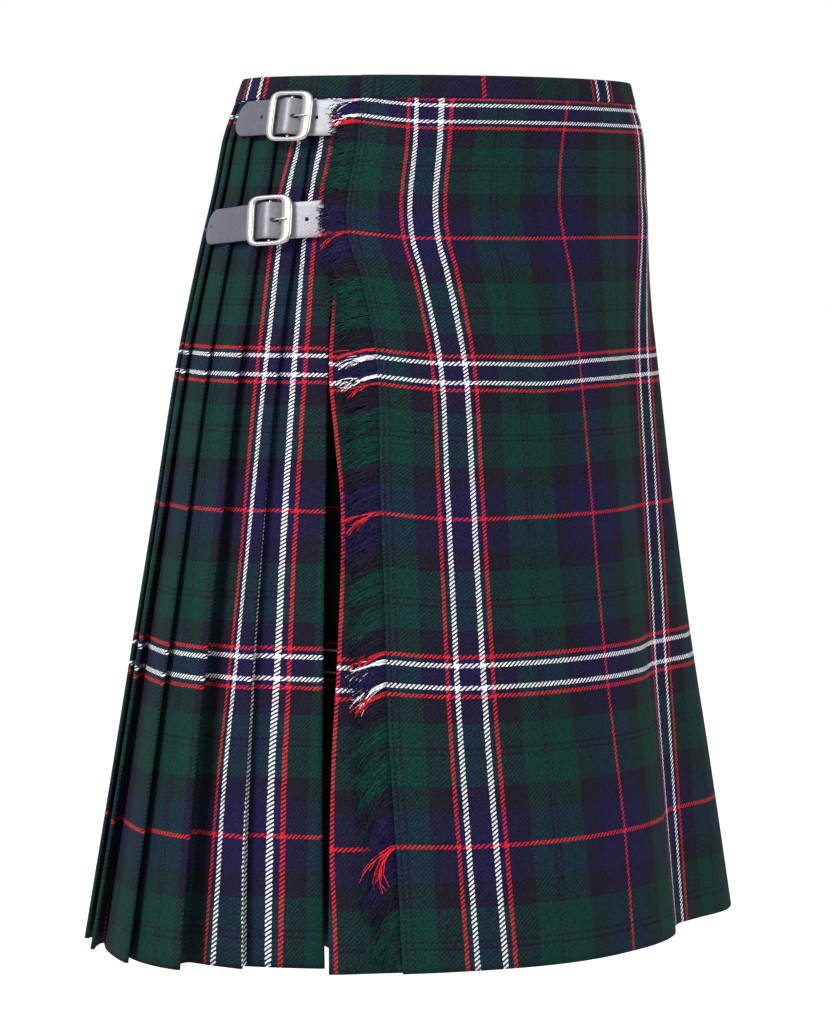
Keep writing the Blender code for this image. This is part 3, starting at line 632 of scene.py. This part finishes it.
def pleatState(row, depth):
    flare = depth / kilt["length"]
    openShare = belowStitching(depth)
    angle = row[0] + (row[1] - row[0]) * flare + row[5] * 4 * flare * (1 - flare)
    inward = row[2] + (row[3] - row[2]) * openShare
    step = max(pleats["waistStep"], pleats["waistStep"] + (row[4] - pleats["waistStep"]) * openShare)
    grown = (pleats["hemLap"] - pleats["waistLap"]) * openShare * ease(0.004, 0.016, row[4])
    radius = ringRadius(angle, depth) - inward
    return angle, radius, step, math.degrees((pleats["waistLap"] + grown) / radius)


def stripeMark(angle, depth, column, values):
    # the mark between measured lines, and beyond them by the cloth's own length
    places = [readTable(hipStripes, depth, column + k) for k in range(len(values))]
    scale = halfSetts(1.0, ringRadius(angle, depth))
    beyond = min(angle - places[0], 0.0) + max(angle - places[-1], 0.0)
    return float(np.interp(angle, places, values)) + beyond * scale


def panelWidths(depth):
    # each pleat's visible width in half-setts
    angles = [readTable(warpLines, depth, 5)] + [pleatState(row, depth)[0] for row in allPleats]
    return [
        halfSetts(b - a, ringRadius((a + b) / 2, depth)) for a, b in zip(angles, angles[1:])
    ]


def pleatMarks(depth):
    # for each visible panel the column of its first measured stripe, or 0, and the marks of
    # its stripes or ends: the folds keep to one line, and the pattern runs on where it is sewn
    foldMark = 0.015 + 0.045 * ease(kilt["stitchedDepth"], 0.55, depth)
    scale = panelWidths(depth)
    sewn = panelWidths(kilt["stitchedDepth"])
    count = len(allPleats)
    third, fourth = pleats["hipFolds"]
    marks = [None] * count
    marks[-1] = (3, (-0.02, whiteMark, redMark))
    marks[-2] = (1, (-redMark, -whiteMark, foldMark))
    marks[-3] = (0, (third - scale[-3], third))
    marks[-4] = (0, (fourth - scale[-4], fourth))
    end = fourth - sewn[-4] + pleats["restart"]
    for k in range(count - 5, -1, -1):
        marks[k] = (0, (end - scale[k], end))
        end -= sewn[k]
    return marks


def panelMark(panel, s, angle, depth):
    column, values = panel
    if column:
        return stripeMark(turn(angle), depth, column, values)
    return values[0] + (values[1] - values[0]) * s


def pleatedBack(depth):
    fold = readTable(warpLines, depth, 5)
    radius = ringRadius(fold, depth)
    layer = kilt["layer"]
    hidden = 2 * layer + 2 * deepPleat["ease"]
    start = fold - math.degrees(front["turnUnder"] / radius)
    down = weftCount(depth + pleats["lift"])
    panels = pleatMarks(depth)
    points = [onRing(a, depth, -hidden) for a in (start, (start + fold) / 2, fold)]
    begin = panels[0][1][0]
    marks = [(begin - shift, down) for shift in (0.2, 0.1, 0.0)]
    slack = pleats["slack"] * (depth / kilt["length"]) ** 1.5
    count = pleats["panelPoints"]
    lastAngle, lastRadius, lastStep, lastLap = fold, radius, hidden, 0.0
    for k, row in enumerate(allPleats):
        angle, radius, step, lap = pleatState(row, depth)
        tip = math.degrees(kilt["foldRound"] / radius)
        width = angle - lastAngle
        low = lastRadius - lastStep
        for i in range(count):
            x = width * (0.03 + 0.90 * i / (count - 1))
            share = (x + lastLap) / (width + lastLap)
            belly = slack * math.sin(math.pi * share) * math.sin(2.1 * k + 7.0 * depth)
            points.append(plan(lastAngle + x, low + (radius - low) * share ** 0.9 + belly))
            marks.append((panelMark(panels[k], x / width, lastAngle + x, depth), down))
        points += [plan(angle - tip * back, radius - layer * s) for back, s in pleatTurn]
        end = panelMark(panels[k], 1.0, angle, depth)
        marks += [(end + shift, down) for shift in (-0.012, -0.007, 0.0, 0.006, 0.012)]
        if k == len(allPleats) - 1:
            break
        slope = (radius - low) / (width + lastLap) * lap
        inner = max(step, slope + 2 * layer + kilt["seam"])
        spread = (inner - slope - 2 * layer) * 0.5
        points.append(plan(angle - 0.55 * lap, radius - layer - 0.55 * slope - 0.4 * spread))
        points.append(plan(angle - lap + tip, radius - layer - slope - spread))
        points.append(plan(angle - lap, radius - inner + layer * 0.5 + spread * 0.3))
        points.append(plan(angle - lap + tip, radius - inner))
        marks += [(end + 0.10, down), (end + 0.16, down)]
        column, values = panels[k + 1]
        for a in (angle - lap, angle - lap + tip):
            mark = values[0] + halfSetts(a - angle, radius)
            if column:
                mark = panelMark(panels[k + 1], 0.0, a, depth)
            marks.append((mark, down))
        lastAngle, lastRadius, lastStep, lastLap = angle, radius, inner, lap
    innerPoints, innerMarks = deepFold(depth, angle, radius, end, down)
    return points + innerPoints, marks + innerMarks


def deepFold(depth, angle, radius, end, down):
    # from the last fold back into the dark gap, then forward to the seam of the under apron
    layer = kilt["layer"]
    share = deepShare(depth)
    back = deepPleat["waistAngle"] + (deepPleat["angle"] - deepPleat["waistAngle"]) * share
    drop = 2 * layer + deepPleat["waistDrop"] + deepPleat["drop"] * share
    near = radius - layer
    low = radius - drop - layer / 2
    points = []
    marks = []
    for s in (0.15, 0.35, 0.55, 0.75, 0.9):
        points.append(plan(angle - back * s, near + (radius - drop + layer / 2 - near) * s))
        marks.append((end + 0.02 + s * 0.30 * share, down))
    points += [plan(angle - back - 0.5, radius - drop), plan(angle - back, low)]
    marks += [(end + 0.03 + 0.31 * share, down), (end + 0.04 + 0.31 * share, down)]
    seamAngle, seamRadius = hiddenSeam(depth)
    for s in (0.15, 0.3, 0.5, 0.65, 0.85, 1.0):
        a = angle - back + (seamAngle % 360.0 - angle + back) * s
        points.append(plan(a, low + (seamRadius - layer - low) * s))
        marks.append((end + 0.05 + 0.31 * share + s * 0.06 * share, down))
    return points, marks


def hiddenSeam(depth):
    share = deepShare(depth)
    angle = readTable(underEdge, depth, 1) + 4.0 - share
    inward = readTable(underEdge, depth, 2) + kilt["layer"] + deepPleat["ease"]
    return angle, ringRadius(angle, depth) - inward - deepPleat["seamDrop"] * share


def underApron(depth):
    edge = readTable(underEdge, depth, 1)
    inward = readTable(underEdge, depth, 2)
    seamAngle, seamRadius = hiddenSeam(depth)
    tip = math.degrees(kilt["foldRound"] / ringRadius(edge, depth))
    share = deepShare(depth)
    down = weftCount(depth)
    edgeMark = lining["edgeMark"] - 0.03 * ease(0.5, 0.61, depth)
    middle = (seamAngle + edge + tip) / 2 + 0.6 * share
    depthIn = kilt["layer"] + deepPleat["ease"] / 2 + deepPleat["seamDrop"] * share * 0.45
    points = [plan(seamAngle, seamRadius), onRing(middle, depth, -inward - depthIn)]
    marks = [(edgeMark - 0.1 - 0.4 * share, down), (edgeMark - 0.05 - 0.2 * share, down)]
    points += foldPoints(edge, depth, inward, -1)[::-1]
    marks += [(edgeMark + 0.006 * i, down) for i in range(-2, 3)]
    freeEdge = lining["freeEdge"] - lining["hemNarrower"] * depth / kilt["length"]
    start = edge + 2 * tip
    count = lining["columns"]
    for i in range(count + 1):
        angle = start + (freeEdge - start) * i / count
        covered = ease(0.0, 9.0, angle - edge)
        points.append(onRing(angle, depth, -inward + (inward - lining["inside"]) * covered))
        marks.append((edgeMark + halfSetts(angle - edge, ringRadius(angle, depth)), down))
    return points, marks


def buildCloth(name, pathAt, rowCount):
    top = kilt["bandDepth"] + kilt["seam"]
    rows = []
    marks = []
    for i in range(rowCount):
        depth = top + (kilt["length"] - top) * i / (rowCount - 1)
        points, rowMarks = pathAt(depth)
        rows.append([(p.x, p.y, -depth - droop(p.x, p.y, depth)) for p in points])
        marks.append(rowMarks)
    return gridObject(name, rows, marks, wool, kilt["cloth"]), rows


def bandMark(angle):
    # the band is cut from the same cloth with its own place in the pattern
    for limit, mark, place, halfSett in strip["parts"]:
        if angle < limit:
            return mark + (angle - place) / halfSett


def buildBand():
    start = readTable(warpLines, kilt["bandDepth"], 1)
    total = 360.0 + strip["innerEnd"] - start
    half = kilt["bandDepth"] / 2
    acrossCorner, downCorner = strip["corners"]
    section = []
    for c, s in circle(strip["sides"]):
        x = blunt(c, acrossCorner) * strip["halfThick"]
        section.append((x, blunt(s, downCorner) * half - half))
    rows = []
    marks = []
    for i in range(strip["columns"] + 1):
        angle = start + total * i / strip["columns"]
        inside = ease(start + strip["insideFrom"], start + strip["insideTo"], angle)
        inward = strip["inside"] * inside
        rows.append([inSpace(onRing(angle, -z, x - inward), -z) for x, z in section])
        down = [strip["topMark"] - z * strip["marksPerMetre"] for _, z in section]
        marks.append([(bandMark(angle), mark) for mark in down])
    band = gridObject("waistband_cloth", rows, marks, wool, closed=True)
    closeEnds(band)
    sewOn(band, "waistband")


def tubeAlong(shape, points, radii, sides, pointMarks=None):
    # a thin tube through a few points, added to shared lists of points, faces and marks
    verts, faces, marks = shape
    base = len(verts)
    count = len(points)
    side = Vector((0.0, 0.0, 1.0))
    for i, p in enumerate(points):
        ahead = (points[min(i + 1, count - 1)] - points[max(i - 1, 0)]).normalized()
        across = ahead.cross(side)
        if across.length < 1e-4:
            across = ahead.cross(Vector((1.0, 0.0, 0.0)))
        across.normalize()
        up = across.cross(ahead)
        for c, s in circle(sides):
            verts.append(p + (across * c + up * s) * radii[i])
            marks.append(pointMarks[i] if pointMarks else (0.0, 0.0))
    for i in range(count - 1):
        for k in range(sides):
            j = (k + 1) % sides
            a = base + i * sides
            b = a + sides
            faces.append((a + k, a + j, b + j, b + k))
    faces.append(tuple(base + k for k in range(sides)))
    faces.append(tuple(base + (count - 1) * sides + k for k in range(sides))[::-1])


def slowNoise(x, seed):
    waves = ((61.0, 1.0, 1.0), (143.0, 2.1, 0.7), (331.0, 0.7, 0.5))
    return sum(size * math.sin(rate * x + shift * seed) for rate, shift, size in waves) / 2.2


def yarnPoints(rng, root, fall, length, lift):
    # one loose yarn from its root under the apron's edge
    edge = readTable(warpLines, root, 1)
    phase = rng.uniform(0.0, 2 * math.pi)
    waves = rng.uniform(1.2, 3.2)
    curl = fringe["curl"] * rng.uniform(0.15, 1.0)
    points = []
    for k in range(fringe["bends"]):
        s = k / (fringe["bends"] - 1)
        lean = fall * (0.45 + 0.65 * s)
        swing = curl * s * math.sin(waves * 2 * math.pi * s + phase)
        across = length * s * math.cos(lean) + swing * math.sin(lean)
        depth = root + length * s * math.sin(lean) + swing * math.cos(lean)
        angle = edge - 0.12 - math.degrees(across / ringRadius(edge, root))
        roll = fringe["roll"] * s * math.cos(waves * 2 * math.pi * s + phase)
        arch = fringe["arch"] * ease(0.0, 0.35, s) * (1 - 0.6 * s)
        out = -fringe["under"] + lift * (0.2 + s) + arch + roll
        points.append(inSpace(onRing(angle, depth, out), depth))
    return points


def sewStitches(shape, top, bottom):
    # a row of small stitches beside the fringe
    depth = top + 0.002
    while depth < bottom - 0.004:
        angle = readTable(warpLines, depth, 1) + stitch["fromEdge"]
        points = []
        for k in range(4):
            d = depth + stitch["length"] * k / 3
            out = 0.0005 + 0.0005 * math.sin(math.pi * k / 3)
            points.append(inSpace(onRing(angle, d, out), d))
        tubeAlong(shape, points, [stitch["radius"]] * 4, 5, [stitch["mark"]] * 4)
        depth += stitch["pitch"]


def buildFringe():
    rng = random.Random(fringe["seed"])
    shape = ([], [], [])
    top = kilt["bandDepth"] + kilt["seam"] + fringe["rootGap"]
    bottom = kilt["length"] - fringe["hemGap"]
    count = fringe["strands"]
    bends = fringe["bends"]
    groupEnd, singleStart = fringe["bright"]
    clump, clumpLift, clumpLength = 0.0, 0.0, 1.0
    for i in range(count):
        root = top + (bottom - top) * (i + rng.uniform(-1.5, 1.5)) / count
        root = min(max(root, top), bottom)
        if i % rng.choice((5, 7, 9)) == 0:
            clump = rng.uniform(-1.0, 1.0)
            clumpLift = rng.uniform(0.0, 1.0)
            clumpLength = rng.uniform(0.80, 1.0)
        fall = readTable(fringeFall, root, 1) + fringe["sway"] * slowNoise(root, 1.3)
        fall += fringe["clumpFall"] * clump + rng.gauss(0.0, fringe["scatter"])
        fall = math.radians(max(fall, fringe["highest"]))
        length = readTable(fringeFall, root, 2) * rng.uniform(0.78, 1.08) * clumpLength
        reach = kilt["length"] - fringe["tipGap"] - root
        length = min(length, reach / max(math.sin(min(1.1 * fall, 1.5)), 0.05))
        lift = fringe["clumpLift"] * clumpLift + rng.uniform(-0.0003, 0.0006)
        mark = weftCount(root) + edgeLift(root)
        near = abs((mark + 1.0) % 2.0 - 1.0)
        if near < groupEnd or near > singleStart:
            lift += fringe["brightLift"]
        points = yarnPoints(rng, root, fall, length, lift)
        radius = fringe["radius"] * rng.uniform(0.8, 1.25)
        shade = rng.random()
        radii = []
        marks = []
        for k in range(bends):
            s = k / (bends - 1)
            radii.append(radius * (1.0 - 0.5 * s ** 3))
            # the yarn's own brightness, less a painted shade on its first part at the root
            marks.append((shade - fringe["rootShade"] * (1 - ease(0.0, 0.12, s)), mark))
        tubeAlong(shape, points, radii, fringe["sides"], marks)
    sewStitches(shape, top, bottom)
    sewOn(meshObject("fringe_yarns", *shape, yarn), "apron_fringe")


def hipSurface(angle, depth):
    # the radius just over the folds at the right hip, where the straps lie
    folds = allPleats[-7:]
    inward = np.interp(angle % 360.0, [row[0] for row in folds], [row[2] for row in folds])
    return ringRadius(angle, depth) - inward + leather["overFolds"]


def strapLine(strap):
    # places along the strap each millimetre from the buckle's bar, with its axes
    def depthAt(angle):
        s = (angle - leather["rootAngle"]) / (strap["tip"] - leather["rootAngle"])
        return strap["rootDepth"] + (strap["tipDepth"] - strap["rootDepth"]) * max(s, 0.0)

    def onFolds(angle, lower):
        depth = depthAt(angle) + lower
        return inSpace(plan(angle, hipSurface(angle, depth)), depth)

    def axesAt(angle):
        origin = onFolds(angle, 0.0)
        along = (onFolds(angle - 0.4, 0.0) - onFolds(angle + 0.4, 0.0)).normalized()
        outward = (onFolds(angle, -0.01) - onFolds(angle, 0.01)).cross(along).normalized()
        if outward.dot(Vector((origin.x, origin.y, 0.0))) < 0:
            outward = -outward
        up = outward.cross(along).normalized()
        if up.z < 0:
            up = -up
        return origin, along, up, outward

    places = {}
    for sign in (1, -1):
        angle = strap["bar"]
        for k in range(leather["reach"]):
            places[sign * k] = (angle, axesAt(angle))
            angle -= math.degrees(sign * 0.001 / hipSurface(angle, depthAt(angle)))
    return places


def strapPoint(places, distance, height, across):
    k = math.floor(distance * 1000.0)
    s = distance * 1000.0 - k
    origin, _, up, outward = (a.lerp(b, s) for a, b in zip(places[k][1], places[k + 1][1]))
    return origin + outward * height - up * across


def buildStrap(strap, places):
    tip = next(k for k in range(leather["reach"] - 1) if places[k][0] <= strap["tip"]) * 0.001
    stations = []
    x = leather["root"]
    while x < tip - leather["tipPart"]:
        stations.append(x)
        x += leather["step"]
    shares = (0.0, 0.2, 0.4, 0.58, 0.74, 0.86, 0.94, 0.99)
    stations += [tip - leather["tipPart"] * (1 - s) for s in shares]
    half = leather["width"] / 2
    widthCorner, wallCorner = leather["corners"]
    rows = []
    marks = []
    for s in stations:
        left = tip - s
        reach = 1.0
        if left < half:
            reach = math.sqrt(max(1 - (1 - left / half) ** 2, 0.004))
        height = readTable(strapRide, s)
        tilt = math.atan2(readTable(strapRide, s + 0.001) - readTable(strapRide, s - 0.001), 0.002)
        row = []
        rowMarks = []
        for c, n in circle(leather["sides"]):
            w = blunt(c, widthCorner) * half * reach
            h = blunt(n, wallCorner) * leather["wall"] / 2
            h *= min(1.0, 0.35 + left / 0.002)
            row.append(strapPoint(places, s - math.sin(tilt) * h, height + math.cos(tilt) * h, w))
            rowMarks.append((s, w))
        rows.append(row)
        marks.append(rowMarks)
    obj = gridObject("leather_strap_" + strap["name"], rows, marks, hide, closed=True)
    closeEnds(obj)
    punch(obj, places, strap)
    sewOn(obj, "strap_" + strap["name"])


def punch(obj, places, strap):
    # round holes through the strap, the buckle's one a little longer
    cutter = bmesh.new()
    sides = 20
    radius = leather["holeRadius"]
    for s in strap["holes"]:
        stretch = leather["prongHole"] if s == leather["prongPlace"] else 1.0
        rings = []
        for h in (-0.004, 0.004):
            lift = readTable(strapRide, s) + h
            ring = [
                cutter.verts.new(strapPoint(places, s + c * radius * stretch, lift, n * radius))
                for c, n in circle(sides)
            ]
            rings.append(ring)
        for i in range(sides):
            j = (i + 1) % sides
            cutter.faces.new((rings[0][i], rings[0][j], rings[1][j], rings[1][i]))
        cutter.faces.new(rings[0])
        cutter.faces.new(rings[1])
    bmesh.ops.recalc_face_normals(cutter, faces=cutter.faces)
    mesh = bpy.data.meshes.new("punches")
    cutter.to_mesh(mesh)
    cutter.free()
    tool = addObject("punches", mesh)
    cut = obj.modifiers.new("holes", "BOOLEAN")
    cut.operation = "DIFFERENCE"
    cut.solver = "EXACT"
    cut.object = tool
    graph = bpy.context.evaluated_depsgraph_get()
    holed = bpy.data.meshes.new_from_object(obj.evaluated_get(graph))
    obj.modifiers.clear()
    obj.data = holed
    holed.set_sharp_from_angle(angle=math.radians(40.0))
    bpy.data.objects.remove(tool)


def buildBuckle(strap, places):
    origin, along, up, outward = places[0][1]
    count = buckle["points"]
    sides = buckle["sides"]
    outer = 2 / buckle["outerCorner"]
    inner = 2 / buckle["innerCorner"]
    shift = (buckle["length"] - buckle["openLength"]) / 2 - buckle["rightBar"]
    middle = (buckle["bottom"] + buckle["top"]) / 2
    half = (buckle["top"] - buckle["bottom"]) / 2
    edge = buckle["edge"]
    verts = []
    for co, si in circle(count, 0.5):
        ox = buckle["length"] / 2 * blunt(co, outer) + shift
        oy = buckle["height"] / 2 * blunt(si, outer)
        ix = buckle["openLength"] / 2 * blunt(co, inner)
        iy = buckle["openHeight"] / 2 * blunt(si, inner)
        for c, n in circle(sides, 0.5):
            s = 0.5 + 0.5 * blunt(c, edge)
            flat = along * (ix + (ox - ix) * s) + up * (iy + (oy - iy) * s)
            verts.append(origin + flat + outward * (middle + half * blunt(n, edge)))
    faces = []
    for i in range(count):
        n = (i + 1) % count
        for k in range(sides):
            j = (k + 1) % sides
            faces.append((i * sides + k, i * sides + j, n * sides + j, n * sides + k))
    shape = (verts, faces, [(0.0, 0.0)] * len(verts))
    reach = buckle["openHeight"] / 2 + buckle["barEnd"]
    bar = [origin + up * y + outward * buckle["barHeight"] for y in (-reach, 0.0, reach)]
    tubeAlong(shape, bar, [buckle["barRadius"]] * 3, 20)
    obj = meshObject("nickel_buckle_" + strap["name"], *shape, nickel)
    obj.data.set_sharp_from_angle(angle=math.radians(50.0))
    sewOn(obj, "buckle_" + strap["name"])


def buildProng(strap, places):
    # a loop round the bar and the tongue through the strap's hole, onto the frame
    origin, along, _, outward = places[0][1]
    shape = ([], [], [])
    r = buckle["barRadius"] + prong["loopGap"]
    ring = circle(24)
    loop = [
        origin + along * (r * c) + outward * (buckle["barHeight"] + r * s) for c, s in ring + ring[:1]
    ]
    tubeAlong(shape, loop, [prong["loopRadius"]] * 25, 12)
    tongue = [origin + along * x + outward * h for x, h in prong["line"]]
    radii = [prong["radius"]] * (len(tongue) - 2) + [prong["radius"] * 0.85, prong["radius"] * 0.45]
    tubeAlong(shape, tongue, radii, 14)
    obj = meshObject("nickel_prong_" + strap["name"], *shape, nickel)
    sewOn(obj, "prong_" + strap["name"])


def buildTab(strap, places):
    # a leather loop round the centre bar, its two ends sewn to the pleats under the strap
    turnRadius = buckle["barRadius"] + tab["gap"] + tab["wall"] / 2
    line = list(tab["under"])
    for i in range(13):
        a = math.radians(-100.0 - 215.0 * i / 12)
        line.append((turnRadius * math.cos(a), buckle["barHeight"] + turnRadius * math.sin(a)))
    line += tab["over"]
    verts = []
    faces = []
    for sign in (1, -1):
        base = len(verts)
        for s, h in line:
            for across in (tab["slot"] / 2, tab["width"] / 2):
                verts.append(strapPoint(places, s, h, sign * across))
        for i in range(len(line) - 1):
            k = base + 2 * i
            faces.append((k, k + 1, k + 3, k + 2))
    obj = meshObject("leather_tab_" + strap["name"], verts, faces, [], hide, tab["wall"])
    sewOn(obj, "buckle_tab_" + strap["name"])


wool = woolMaterial("worsted_wool_twill_tartan", True)
yarn = woolMaterial("unravelled_wool_weft", False)
hide = leatherMaterial()
nickel = nickelMaterial()
print("materials ready", flush=True)

# piece, its path at a depth, number of rows, the solid that it stands for, how it is held
cloths = (
    ("outer_apron_cloth", outerApron, 130, "outer_apron", "hung"),
    ("pleated_back_cloth", pleatedBack, 64, "pleated_back", "folded"),
    ("under_apron_cloth", underApron, 90, "under_apron", "hung"),
)
for name, pathAt, rowCount, node, held in cloths:
    obj, rows = buildCloth(name, pathAt, rowCount)
    sewOn(obj, node)
    print(name, "ready", flush=True)

buildBand()
buildFringe()
print("band and fringe ready", flush=True)

for strap in straps:
    places = strapLine(strap)
    buildStrap(strap, places)
    buildBuckle(strap, places)
    buildProng(strap, places)
    buildTab(strap, places)
print("straps and buckles ready", flush=True)


def buildStudio():
    scene = bpy.context.scene
    scene.view_settings.view_transform = "Standard"
    world = bpy.data.worlds.new("soft_white_room")
    scene.world = world
    world.use_nodes = True
    tree = world.node_tree
    seen = addNode(tree, "ShaderNodeLightPath").outputs["Is Camera Ray"]
    level = math2(tree, "MULTIPLY_ADD", seen, 1.0 - studio["room"], studio["room"])
    setInputs(tree, tree.nodes["Background"], {0: (1.0, 1.0, 1.0, 1.0), 1: level})
    paper, tree, shader = newMaterial("matte_white_paper")
    seen = addNode(tree, "ShaderNodeLightPath").outputs["Is Camera Ray"]
    setInputs(tree, shader, {
        "Base Color": linear(studio["paper"]), "Roughness": 0.9,
        "Emission Color": (1.0, 1.0, 1.0, 1.0),
        "Emission Strength": math2(tree, "MULTIPLY", seen, studio["paperGlow"]),
    })
    mesh = bpy.data.meshes.new("floor")
    far = studio["floorSize"]
    corners = ((-far, -far), (far, -far), (far, far), (-far, far))
    mesh.from_pydata([(x, y, studio["floor"]) for x, y in corners], [], [(0, 1, 2, 3)])
    mesh.materials.append(paper)
    floor = addObject("floor", mesh)
    for name, place, size, power in studio["lamps"]:
        data = bpy.data.lights.new(name, "AREA")
        data.shape = "DISK"
        data.size = size
        data.energy = power
        lamp = addObject(name, data)
        lamp.location = place
        aim = Vector(studio["aim"]) - Vector(place)
        lamp.rotation_euler = aim.to_track_quat("-Z", "Y").to_euler()


def buildCamera():
    azimuth = math.radians(camera["azimuth"])
    behind = Vector((math.sin(azimuth), -math.cos(azimuth), 0.0))
    place = behind * camera["distance"] + Vector((0.0, 0.0, camera["height"]))
    right = Vector((math.cos(azimuth), math.sin(azimuth), 0.0))
    swing = math.atan((camera["axis"] - camera["width"] / 2) / camera["focal"])
    pitch = math.atan((camera["middle"] - camera["horizon"]) / camera["focal"])
    ahead = -behind * math.cos(swing) - right * math.sin(swing)
    look = ahead * math.cos(pitch) - Vector((0.0, 0.0, 1.0)) * math.sin(pitch)
    data = bpy.data.cameras.new("camera")
    data.sensor_fit = "HORIZONTAL"
    data.sensor_width = camera["sensor"]
    data.lens = camera["focal"] / camera["width"] * camera["sensor"]
    data.clip_end = 100.0
    eye = addObject("camera", data)
    eye.location = place
    eye.rotation_euler = look.to_track_quat("-Z", "Y").to_euler()
    bpy.context.scene.camera = eye


buildStudio()
buildCamera()
print("studio ready", flush=True)
